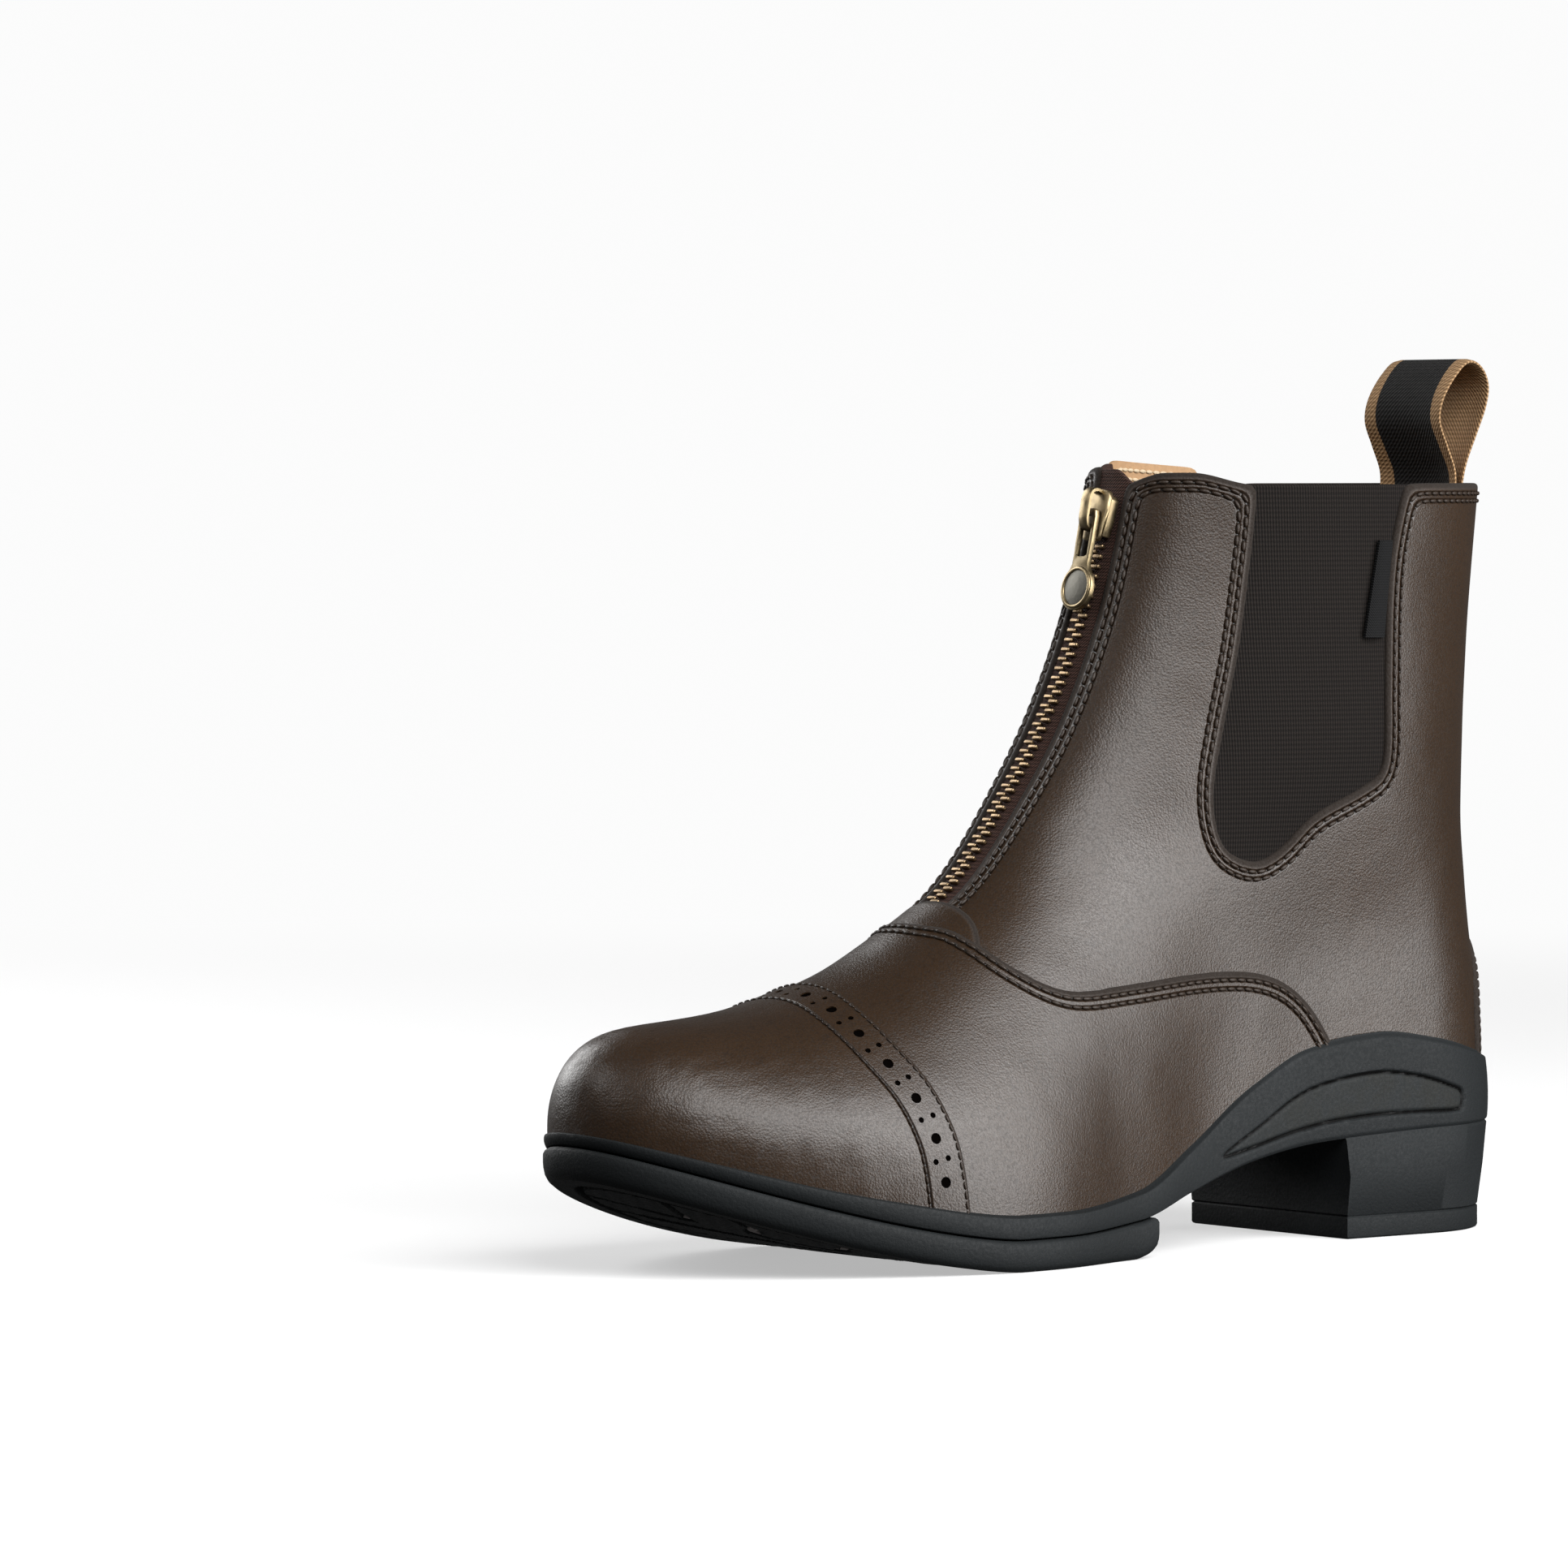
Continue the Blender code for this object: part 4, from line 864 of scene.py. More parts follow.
slot = {"half": 0.0050, "foot": 0.469 * last["collarHeight"], "reach": 0.030}
isFront = x < frontX(z) + slot["reach"]
slotField = np.where(isFront & (z > slot["foot"] - 0.004), np.abs(y) - slot["half"], 0.05)
slotField = np.maximum(slotField, (slot["foot"] - 0.004) - z)

medialRise = 0.0052 * ease((y + 0.002) / 0.008) * ease((0.040 - x) / 0.022)
outerRise = 0.0026 * ease((-y - 0.004) / 0.010) * ease((0.044 - x) / 0.012)
collarField = last["collarHeight"] + medialRise + outerRise - z


def softMin(*fields, reach):
    total = sum(np.exp(-np.clip(f, -0.05, 0.05) / reach) for f in fields)
    return -reach * np.log(total)


def clippedSkin(name, field, low, high, look, roll=0.0011):
    # the part of the surface where the field is positive, as a skin whose edge rolls under
    foot = 0.18  # share of the thickness that is left at the very edge
    rows = list(np.column_stack([flatPoints, flatNormals, field]))
    kept = bodyQuads[(field[bodyQuads].max(axis=1) > 0)]
    near = field[kept].min(axis=1) < roll
    whole, edgy = kept[~near].tolist(), kept[near].tolist()
    for level in (0.0, 0.12 * roll, 0.35 * roll, 0.65 * roll, roll):
        made, cuts = [], {}
        for face in edgy:
            values = [rows[i][6] - level for i in face]
            if level == 0.0 and max(values) <= 1e-9:
                continue
            if min(values) >= -1e-9 or max(values) <= 1e-9:
                made.append(face)
                continue
            above, below = [], []
            for (i, a), (j, b) in zip(zip(face, values), zip(face[1:] + face[:1], values[1:] + values[:1])):
                (above if a >= 0 else below).append(i)
                if (a >= 0) != (b >= 0) and abs(a) > 1e-9 and abs(b) > 1e-9:
                    key = (min(i, j), max(i, j))
                    if key not in cuts:
                        share = a / (a - b)
                        fresh = rows[i] * (1 - share) + rows[j] * share
                        fresh[6] = level
                        rows.append(fresh)
                        cuts[key] = len(rows) - 1
                    above.append(cuts[key])
                    below.append(cuts[key])
                elif a >= 0 and b < 0 and abs(a) <= 1e-9:
                    below.append(i)
                elif a < 0 and b >= 0 and abs(b) <= 1e-9:
                    below.append(j)
            if len(above) > 2:
                made.append(above)
            if level > 0.0 and len(below) > 2:
                made.append(below)
        edgy = made
    faces = [list(dict.fromkeys(face)) for face in whole + edgy]
    faces = [face for face in faces if len(face) > 2]
    used = sorted({i for face in faces for i in face})
    renamed = {old: new for new, old in enumerate(used)}
    faces = [[renamed[i] for i in face] for face in faces]
    rows = np.array(rows)[used]
    place, out, inward = rows[:, :3], unit(rows[:, 3:6]), rows[:, 6]
    bend = np.sqrt(np.clip(1 - (1 - np.clip(inward / roll, 0, 1)) ** 2, 0, 1))
    lift = low + (high - low) * (foot + (1 - foot) * bend)
    count = len(used)
    points = np.concatenate([place + out * lift[:, None], place + out * low])
    edges = {}
    for face in faces:
        for a, b in zip(face, face[1:] + face[:1]):
            edges[(a, b)] = edges.get((a, b), 0) + 1
    walls = [[b, a, a + count, b + count] for a, b in edges if (b, a) not in edges]
    everything = faces + [[i + count for i in reversed(face)] for face in faces] + walls
    values = {"edge": np.concatenate([inward, inward])}
    return meshObject(name, points, everything, look, 55.0, values=values)


skins = {
    "quarter": (-0.0008, 0.0004),
    "vamp": (0.0001, 0.0011),
    "cap": (0.0004, 0.0016),
    "gusset": (0.0002, 0.0010),
    "counter": (0.0001, 0.0012),
    "gore": (-0.0016, -0.0006),
    "lining": (-0.0018, -0.0009),
    "tape": (-0.0015, -0.0005),
}

quarterField = softMin(softMin(slotField, collarField, reach=0.0008), -goreField, reach=0.0012)
quarter = clippedSkin("quarterLeather", quarterField, *skins["quarter"], "quarter")
finishPiece(quarter, ("upper",))

vampPiece = clippedSkin("vampLeather", vampField, *skins["vamp"], "vamp", 0.0010)
finishPiece(vampPiece, ("vamp",))

gussetLine = [(-35.6, 91.0), (-32.4, 85.5), (-31.2, 81.0), (-31.6, 77.2), (-33.6, 73.0), (-37.0, 66.0)]
gussetEdge = smoothLine(gussetLine, 12) / 1000
gussetSide = np.concatenate([gussetEdge, [(-0.09, 0.066), (-0.09, 0.091)]])
gussetField = distanceTo(laidOn(acrossBoth(gussetEdge))) * signOf(gussetSide)
gussetPiece = clippedSkin("throatGusset", gussetField, *skins["gusset"], "plain", 0.0009)
finishPiece(gussetPiece, ("throat_gusset",))

counterForm = {"back": 0.1315, "length": 0.0125, "rise": 0.033}
counterUp = (z - randZ(x)) / counterForm["rise"]
counterAhead = (counterForm["back"] - x) / counterForm["length"]
counterField = (1 - np.hypot(np.clip(counterAhead, 0, 2), np.clip(counterUp, 0, 2) ** 1.6)) * 0.010
counterPiece = clippedSkin("heelCounter", counterField, *skins["counter"], "plain", 0.0009)
finishPiece(counterPiece, ("heel_counter",))
print("stage: upper's leathers")

for goreName, side, isHere in (("goreLateral", -1, outerSide), ("goreMedial", 1, ~outerSide)):
    field = np.where(isHere, goreField + 0.004, -0.02)
    field = np.minimum(field, last["collarHeight"] - 0.0002 - z)
    gore = clippedSkin(goreName, field, *skins["gore"], "gore", 0.0006)
    weaveAlong(gore, [0, 2])
    finishPiece(gore, ("gore_lateral" if side < 0 else "gore_medial",))

liningField = softMin(-goreField - 0.001, slotField - 0.0015, collarField - 0.0004, reach=0.0008)
liningPiece = clippedSkin("tanLining", liningField, *skins["lining"], "lining", 0.0005)
finishPiece(liningPiece)

tapeField = np.minimum(np.where(isFront, 0.0105 - np.abs(y), -0.02), z - slot["foot"] + 0.003)
tapeField = np.minimum(tapeField, last["collarHeight"] + 0.0036 * ease((y + 0.008) / 0.008) - z)
tapePiece = clippedSkin("zipTape", tapeField, *skins["tape"], "tape", 0.0005)
weaveAlong(tapePiece, [1, 2])
finishPiece(tapePiece, ("zip_tape",))
print("stage: gores, lining and tape")


def insetSign(curve, field):
    # which way across a curve leads into the field's positive side
    at, out = castDown(curve[len(curve) // 3 : len(curve) // 3 + 3])
    across = np.cross(out, unit(np.gradient(at, axis=0)))
    ahead, behind = (at[1] + across[1] * 0.004 * sign for sign in (1, -1))
    near = [int(np.argmin(np.linalg.norm(flatPoints - p, axis=1))) for p in (ahead, behind)]
    return 1 if field[near[0]] > field[near[1]] else -1


# The toe cap, punched with a row of large holes and pairs of small ones

capPiece = clippedSkin("toeCap", capField, *skins["cap"], "cap", 0.0010)
brogue = {"middle": 0.0059, "pitch": 0.0100, "large": 0.0026, "small": 0.0014, "apart": 0.0034}


def stepped(curve, inward, pitch, lift, start, end):
    # places at an even pitch along a line set in from a curve on the surface
    at, out = castDown(curve)
    along = unit(np.gradient(at, axis=0))
    across = np.cross(out, along)
    moved, _ = castDown(at + across * inward)
    moved = evened(resample(moved, pitch / 8), 3)
    run = runOf(moved)
    points, out = castDown(pointsAt(moved, run, np.arange(start + pitch / 2, run[-1] - end, pitch)))
    along = unit(np.gradient(points, axis=0))
    return points + out * lift, along, out


capWay = insetSign(capCurve, capField)
middle = capWay * brogue["middle"]
largeAt, largeAlong, largeOut = stepped(capCurve, middle, brogue["pitch"], 0.001, 0.004, 0.004)
smallStart = 0.004 + brogue["pitch"] / 2
smallAt, smallAlong, smallOut = stepped(capCurve, middle, brogue["pitch"], 0.001, smallStart, 0.004)
across = np.cross(smallOut, smallAlong)
pairAt = np.concatenate([smallAt + across * brogue["apart"] / 2, smallAt - across * brogue["apart"] / 2])
pinAt = np.concatenate([largeAt, pairAt])
pinAlong = np.concatenate([largeAlong, smallAlong, smallAlong])
pinTurns = turnsOf(pinAlong, np.concatenate([largeOut, smallOut, smallOut]))
pinGrow = [brogue["large"]] * len(largeAt) + [brogue["small"]] * len(pairAt)
punch = copiesPiece("capPunch", "pin", pinAt, pinTurns, (1.0, 1.0, 1.6), "black", pinGrow)
step = capPiece.modifiers.new("punch", "BOOLEAN")
step.operation, step.solver, step.object = "DIFFERENCE", "EXACT", punch
punched = settle(capPiece)
punched.materials.clear()
punched.materials.append(looks["cap"])
punched.polygons.foreach_set("material_index", np.zeros(len(punched.polygons), np.int32))
bpy.data.objects.remove(punch)


def mendPunched(mesh, curve, roll):
    # the cut leaves new corners: they get their distance from the edge and the leather's own normals back
    spots = np.array([corner.co[:] for corner in mesh.vertices])
    line = resample(castDown(curve)[0], 0.0004)
    edge = np.array([np.linalg.norm(line - spot, axis=1).min() for spot in spots])
    mesh.attributes["edge"].data.foreach_set("value", edge.astype(np.float32))
    leatherWay = castDown(spots)[1]
    mesh.polygons.foreach_set("use_smooth", np.ones(len(mesh.polygons), bool))
    ways = []
    for face in mesh.polygons:
        for loop in face.loop_indices:
            corner = mesh.loops[loop].vertex_index
            lean = float(np.dot(leatherWay[corner], face.normal))
            if edge[corner] < roll or abs(lean) < 0.6:
                ways.append(tuple(face.normal))
            else:
                ways.append(tuple(leatherWay[corner] * np.sign(lean)))
    mesh.normals_split_custom_set(ways)


mendPunched(punched, capCurve, 0.0006)
finishPiece(capPiece, ("toe_cap",))

# painted shade: a near-black sheet inside the cap, under the punched strip, darkens the holes
holeShadeField = np.minimum(capField - 0.002, 0.0098 - capField)
holeShadeSheet = clippedSkin("paintedHoleShade", holeShadeField, 0.0011, 0.00125, "black", 0.0004)
finishPiece(holeShadeSheet)
print("stage: toe cap", len(capPiece.data.polygons))


# Stitch rows: lines at an even distance inside each piece's edge


def levelLines(field, level):
    # the lines along which a field over the grid takes one value
    links, spots = {}, {}
    over = field[bodyQuads] > level
    split = over.any(axis=1) & ~over.all(axis=1)
    for face, sides in zip(bodyQuads[split], over[split]):
        crossed = []
        for k in range(4):
            i, j = face[k], face[(k + 1) % 4]
            if sides[k] != sides[(k + 1) % 4]:
                key = (min(i, j), max(i, j))
                share = (field[i] - level) / (field[i] - field[j])
                spots[key] = flatPoints[i] * (1 - share) + flatPoints[j] * share
                crossed.append(key)
        for one, two in zip(crossed[::2], crossed[1::2]):
            links.setdefault(one, []).append(two)
            links.setdefault(two, []).append(one)
    lines, seen = [], set()
    ends = [key for key in links if len(links[key]) == 1] + list(links)
    for first in ends:
        if first in seen:
            continue
        line, key = [], first
        while key is not None:
            seen.add(key)
            line.append(spots[key])
            key = next((other for other in links[key] if other not in seen), None)
        if len(line) > 8:
            lines.append(np.array(line))
    return lines


def showing(points):
    return points[:, 2] > randZ(points[:, 0]) - 0.001


coarse = {"shape": (0.0027, 0.00100, 0.00090), "pitch": 0.00285}
finer = {"shape": (0.0020, 0.0007, 0.0006), "pitch": 0.0022}


def stitchRows(name, field, level, lift, stitch, look="thread"):
    at, along, out = [], [], []
    for line in levelLines(field, level):
        line = resample(evened(resample(line, 0.0005), 6), stitch["pitch"])
        if len(line) < 4:
            continue
        spots, normals = castDown(line)
        kept = showing(spots)
        at.append(spots[kept] + normals[kept] * lift)
        along.append(unit(np.gradient(spots, axis=0))[kept])
        out.append(normals[kept])
    at, along, out = (np.concatenate(part) for part in (at, along, out))
    finishPiece(copiesPiece(name, "bead", at, turnsOf(along, out), stitch["shape"], look))


fields = {"quarter": quarterField, "vamp": vampField, "cap": capField, "counter": counterField}
for part, levels in seamRows.items():
    for index, level in enumerate(levels):
        stitch = finer if part in ("cap", "counter") else coarse
        stitchRows(f"{part}Stitch{index}", fields[part], level, skins[part][1] + 0.0001, stitch)
print("stage: seams stitched")


def frontLineAt(heights):
    # points down the front of the shaft
    start = np.column_stack([frontX(heights), np.zeros(len(heights)), heights])
    return castDown(start)[0]


# A tan guard inside the inner side of the collar, behind the zip

guard = {"front": 0.037, "back": 0.0745, "low": 0.140, "rise": 0.0058, "reach": (-0.0032, -0.0019)}
guardTop = last["collarHeight"] + guard["rise"] - 0.06 * np.clip(x - 0.040, 0, 1)
guardSides = np.minimum(x - guard["front"], guard["back"] - x)
guardField = softMin(guardSides, z - guard["low"], guardTop - z, y - 0.004, reach=0.0012)
guardPiece = clippedSkin("zipGuard", guardField, *guard["reach"], "lining", 0.0006)
finishPiece(guardPiece)
for index, level in enumerate((0.0020, 0.0042)):
    guardLift = guard["reach"][0] - 0.0001
    stitchRows(f"guardStitch{index}", guardField, level, guardLift, coarse, "cream")
bindingTop = last["collarHeight"] + guard["rise"] - 0.0006 - 0.30 * np.clip(guard["front"] - x, 0, 1)
bindingField = softMin(guard["front"] + 0.0015 - x, bindingTop - z, z - 0.160, y - 0.002, reach=0.0008)
finishPiece(clippedSkin("zipBinding", bindingField, -0.0034, -0.0014, "tape", 0.0006))
print("stage: guard behind the zip")


# The sole unit: band, ledge and heel cup as one run of rings

soleForm = {
    "count": 420,
    "rows": 60,
    "lip": 0.0016,
    "bandStep": 0.0012,
    "lens": [  # side view of the sunk panel, in millimetres
        (31.5, 22.2), (44.8, 29.2), (55.4, 34.8), (65.7, 37.8), (81.1, 39.6), (94.1, 38.3), (104.6, 35.5),
        (108.5, 33.9), (108.5, 30.6), (106.1, 29.6), (91.5, 29.7), (78.6, 29.5), (65.7, 28.5), (52.7, 26.3),
        (40.8, 23.6),
    ],
}


def lipWidth(ring):
    ledge = smooth([0.0, 0.3, 0.5, 0.9, 0.97, 1.0], [1.0, 1.0, 1.5, 1.5, 1.1, 1.0], stationOf(ring[:, 0]))
    return soleForm["lip"] * ledge


def upperRing(height, count):
    return traceRing(lambda at: np.maximum(height(at), bedZ(at) + last["gap"]), count)


def soleUnit():
    half, rows = soleForm["count"], soleForm["rows"]
    foot = planRing(soleForm["bandStep"], splitZ, half)
    rim = upperRing(randZ, half)
    top = offsetRing(rim, last["gap"] + lipWidth(rim))
    rings = []
    for share in np.linspace(0, 1, rows):
        ring = foot * (1 - share) + top * share
        bulge = 0.0006 * np.sin(np.pi * share) ** 0.6
        edge = -0.0009 * ease((share - 0.93) / 0.07) ** 2 - 0.0004 * ease((0.04 - share) / 0.04)
        rings.append(offsetRing(ring, bulge + edge))
    lip = offsetRing(rim, last["gap"] + lipWidth(rim) * 0.35)
    lip[:, 2] += 0.0003
    inside = offsetRing(rim, -0.0012)
    inside[:, 2] -= 0.0010
    rings = np.array(rings + [lip, inside])
    lens = smoothLine(soleForm["lens"], 6, True) / 1000
    x, z = rings[:rows, :, 0], rings[:rows, :, 2]
    panel = insideOutline(x, z, lens)
    near = np.full(x.shape, 0.02)
    behind = x > -0.01
    line = resample(np.concatenate([lens, lens[:1]]), 0.0004)
    spots = np.stack([x[behind], z[behind]], axis=1)
    near[behind] = np.array([np.hypot(*(line - spot).T).min() for spot in spots])
    signed = np.where(panel, near, -near)
    groove = np.exp(-((signed / 0.00042) ** 2))
    sink = -0.0003 * ease((signed + 0.0002) / 0.0008) - 0.0010 * groove
    along = np.roll(rings, -1, axis=1) - np.roll(rings, 1, axis=1)
    outward = unit(np.stack([along[..., 1], -along[..., 0]], axis=-1))
    rings[:rows, :, :2] += outward[:rows] * sink[..., None]
    shades = {"line": np.zeros(rings.shape[:2]), "panel": np.zeros(rings.shape[:2])}
    # painted shade for the groove round the panel
    shades["line"][:rows] = groove
    shades["panel"][:rows] = ease((signed + 0.0002) / 0.0006)
    shades = {key: shade.ravel() for key, shade in shades.items()}
    return stackPiece("soleUnit", rings, "rubber", 40.0, False, values=shades)


finishPiece(soleUnit(), ("sole_unit",))
print("stage: sole unit")


# The forefoot slab: a height field underneath and a wall round it

tread = {
    "inset": 0.0020,
    "frame": 0.0080,
    "depth": 0.0022,
    "channel": 0.0034,
    "groove": 0.0018,
    "along": 250,
    "across": 150,
    "scaleWide": 0.0056,
    "scaleTall": 0.0030,
    "relief": 0.0004,
    "rear": [
        (-0.0350, 0.5000), (-0.0030, 0.4235), (0.0110, 0.3088), (0.0370, 0.1794), (0.0390, 0.1191),
        (0.0200, 0.0426), (0.0090, -0.0485), (0.0110, -0.1074), (0.0190, -0.2206), (0.0240, -0.3088),
        (0.0200, -0.5000),
    ],
    "bars": [
        [(-0.371, 0.271), (-0.334, 0.150), (-0.304, 0.066), (-0.265, -0.005), (-0.226, -0.063),
         (-0.192, -0.116), (-0.212, -0.265)],
        [(-0.272, 0.262), (-0.248, 0.195), (-0.214, 0.142), (-0.156, 0.043), (-0.111, -0.032),
         (-0.128, -0.108), (-0.137, -0.199), (-0.145, -0.300), (-0.119, -0.306)],
        [(-0.214, 0.142), (-0.177, 0.272)],
        [(-0.156, 0.043), (-0.114, 0.242)],
        [(-0.111, -0.032), (-0.086, 0.051), (-0.046, 0.158)],
        [(-0.402, 0.130), (-0.369, 0.058)],
        [(-0.355, -0.147), (-0.325, -0.051), (-0.267, -0.139), (-0.282, -0.236)],
    ],
    "channels": [
        [(-0.402, 0.130), (-0.449, 0.248)], [(-0.369, 0.058), (-0.440, -0.101)],
        [(-0.371, 0.271), (-0.397, 0.345)], [(-0.272, 0.262), (-0.322, 0.405)],
        [(-0.177, 0.272), (-0.164, 0.332), (-0.178, 0.415)], [(-0.114, 0.242), (-0.095, 0.340)],
        [(-0.046, 0.158), (-0.030, 0.225)], [(-0.212, -0.265), (-0.226, -0.425)],
        [(-0.143, -0.303), (-0.150, -0.445)], [(-0.355, -0.147), (-0.403, -0.222)],
        [(-0.282, -0.236), (-0.311, -0.345)],
    ],
}
planScale = np.array([last["soleLength"], last["ballWidth"]])
rearLine = smoothLine(np.array(tread["rear"]) * planScale, 6)


def rearX(y):
    return np.interp(y, rearLine[::-1, 1], rearLine[::-1, 0])


def slabPoint(share, side, inset):
    tip = float(xOf(1.0)) + inset
    x = tip + share * (0.02 - tip)
    for step in range(3):
        y = centreOf(x) + side * planHalfWidth(x, inset)
        x = tip + share * (rearX(y) - inset - tip)
    return x, centreOf(x) + side * planHalfWidth(x, inset)


def rearLift(x, y):
    # the slab's rear end turns up in a quarter round
    reach = np.clip((x - (rearX(y) - 0.0078)) / 0.0078, 0, 1)
    return 0.0046 * (1 - np.sqrt(1 - reach**2))


def nearLine(x, y, line):
    line = resample(np.asarray(line, float), 0.0005)
    near = np.full(x.shape, 0.05)
    for spot in line:
        near = np.minimum(near, np.hypot(x - spot[0], y - spot[1]))
    return near


def cutTo(near, width):
    return ease((width / 2 + 0.0003 - near) / 0.0006)


def treadDepth(x, y):
    field = planRing(tread["frame"], flatAt(0.0), 90)[:, :2]
    limit = rearX(field[:, 1]) - tread["frame"] + 0.001
    field[:, 0] = np.minimum(field[:, 0], limit)
    field = resample(np.concatenate([field, field[:1]]), 0.004)
    inside = insideOutline(x, y, field)
    cut = cutTo(nearLine(x, y, field), tread["groove"])
    for channel in tread["channels"]:
        near = nearLine(x, y, np.array(channel) * planScale)
        cut = np.maximum(cut, cutTo(near, tread["groove"]) * inside)
    bars = [smoothLine(np.array(bar) * planScale, 6) for bar in tread["bars"]]
    for bar in bars:
        cut = np.maximum(cut, cutTo(nearLine(x, y, bar), tread["channel"]))
    broad = np.concatenate([bars[0], bars[1][::-1]])
    ribs = insideOutline(x, y, broad) & inside
    row = np.floor(y / tread["scaleTall"])
    scale = np.zeros(x.shape)
    for step in (0, 1, 2):
        line = row - step
        shift = np.where(np.mod(line, 2) == 0, 0.0, 0.5)
        place = np.round(x / tread["scaleWide"] - shift) + shift
        dx, dy = x - place * tread["scaleWide"], y - line * tread["scaleTall"]
        far = np.hypot(dx, dy * 0.95) / (0.62 * tread["scaleWide"])
        level = np.where(far < 1, 0.35 + 0.65 * far**2, 0.0)
        scale = np.where((scale == 0) & (far < 1), level, scale)
    pads = inside & ~ribs & (cut < 0.01)
    relief = np.where(pads, (1 - scale) * tread["relief"], 0.0)
    return cut * tread["depth"] + relief, ribs.astype(float) * (cut < 0.3)


def slabPiece():
    tip = 0.08  # the share along the slab where the closer rows round the toe end
    tipShares = tip * (1 - np.cos(np.linspace(0, np.pi / 2, 22)))[:-1]
    shares = np.concatenate([tipShares, np.linspace(tip, 1, tread["along"])])
    sides = np.sin(np.linspace(-np.pi / 2, np.pi / 2, tread["across"]))
    sides = 0.35 * sides + 0.65 * np.linspace(-1, 1, tread["across"])
    share, side = np.meshgrid(shares, sides, indexing="ij")
    x, y = slabPoint(share, side, tread["inset"])
    depth, ribs = treadDepth(x, y)
    z = treadZ(x) + depth + rearLift(x, y)
    rows, count = x.shape
    points = [np.stack([x, y, z], axis=-1).reshape(-1, 3)]
    index = np.arange(rows * count).reshape(rows, count)
    faces = [[index[i, j], index[i + 1, j], index[i + 1, j + 1], index[i, j + 1]]
             for i in range(rows - 1) for j in range(count - 1)]
    loop = np.concatenate([index[:, 0], index[-1, 1:], index[-2::-1, -1], index[0, -2:0:-1]])
    sharesLoop, sidesLoop = share.ravel()[loop], side.ravel()[loop]
    wall = [loop]
    levels = [(0.0010, 0.0006, 0.0), (0.0004, 0.0016, 0.0), (0.0001, 0.0030, 0.0), (0.0, 0.0042, 0.0),
              (0.0, -0.0016, 1.0), (0.0003, -0.0009, 1.0), (0.0008, -0.0004, 1.0), (0.0022, -0.0003, 1.0)]
    total = rows * count
    for inset, rise, top in levels:
        wx, wy = slabPoint(sharesLoop, sidesLoop, inset)
        foot = treadZ(wx) + rise + rearLift(wx - tread["inset"] + inset, wy)
        wz = np.where(top > 0, splitZ(wx) + rise, np.minimum(foot, splitZ(wx) - 0.0018))
        points.append(np.column_stack([wx, wy, wz]))
        wall.append(np.arange(total, total + len(loop)))
        total += len(loop)
    for low, high in zip(wall[:-1], wall[1:]):
        for i in range(len(loop)):
            j = (i + 1) % len(loop)
            faces.append([low[i], low[j], high[j], high[i]])
    points = np.concatenate(points)
    values = {"ribs": np.concatenate([ribs.ravel(), np.zeros(len(points) - rows * count)])}
    return meshObject("forefootSlab", points, faces, "tread", 42.0, values=values)


slab = slabPiece()
clean = bmesh.new()
clean.from_mesh(slab.data)
bmesh.ops.remove_doubles(clean, verts=clean.verts, dist=0.000002)
bmesh.ops.recalc_face_normals(clean, faces=clean.faces)
clean.to_mesh(slab.data)
clean.free()
finishPiece(slab, ("outsole",))
print("stage: forefoot slab", len(slab.data.polygons))


# Light inlays: rounded bars along the bottoms of the wide channels


def inlayPiece(name, line):
    line = resample(smoothLine(np.array(line) * planScale, 6), 0.0012)
    half = 0.0012
    profile = [(-1.0, 0.0022), (-1.0, 0.0009), (-0.8, 0.0006), (0.8, 0.0006), (1.0, 0.0009), (1.0, 0.0022)]
    sections = []
    for spot, way in zip(line, leftOf(line)):
        places = [spot + way * half * a for a, h in profile]
        sections.append([(p[0], p[1], float(treadZ(p[0])) + h) for p, (a, h) in zip(places, profile)])
    return stripPiece(name, sections, "inlay")


inlayNodes = {0: "tread_inlay_long", 1: "tread_inlay_comb", 5: "tread_inlay_short", 6: "tread_inlay_hook"}
for index, bar in enumerate(tread["bars"]):
    replaced = (inlayNodes[index],) if index in inlayNodes else ()
    finishPiece(inlayPiece(f"treadInlay{index}", bar), replaced)


# The heel block and its top piece

heel = {"length": 0.060, "inset": 0.0012, "taper": 0.0018, "lift": 0.0054, "points": 90}


def heelRing(height, inset, breast):
    back = float(xOf(0.0)) - inset
    x = breast + (back - breast) * np.sin(np.linspace(0, np.pi / 2, heel["points"]))
    half = planHalfWidth(x, inset)
    outer = np.column_stack([x, centreOf(x) - half, height(x)])
    inner = np.column_stack([x, centreOf(x) + half, height(x)])
    return np.concatenate([outer, inner[-2::-1]])


def heelSolid(name, rings, node):
    rings = np.array(rings)
    count = rings.shape[1]
    faces = ringFaces(len(rings), count)
    for first in (0, (len(rings) - 1) * count):
        for i in range(heel["points"] - 1):
            corners = [first + i, first + i + 1, first + count - 2 - i, first + count - 1 - i]
            faces.append(list(dict.fromkeys(corners)))
    piece = faceOut(meshObject(name, rings.reshape(-1, 3), faces, "rubber", 40.0))
    return finishPiece(piece, (node,))


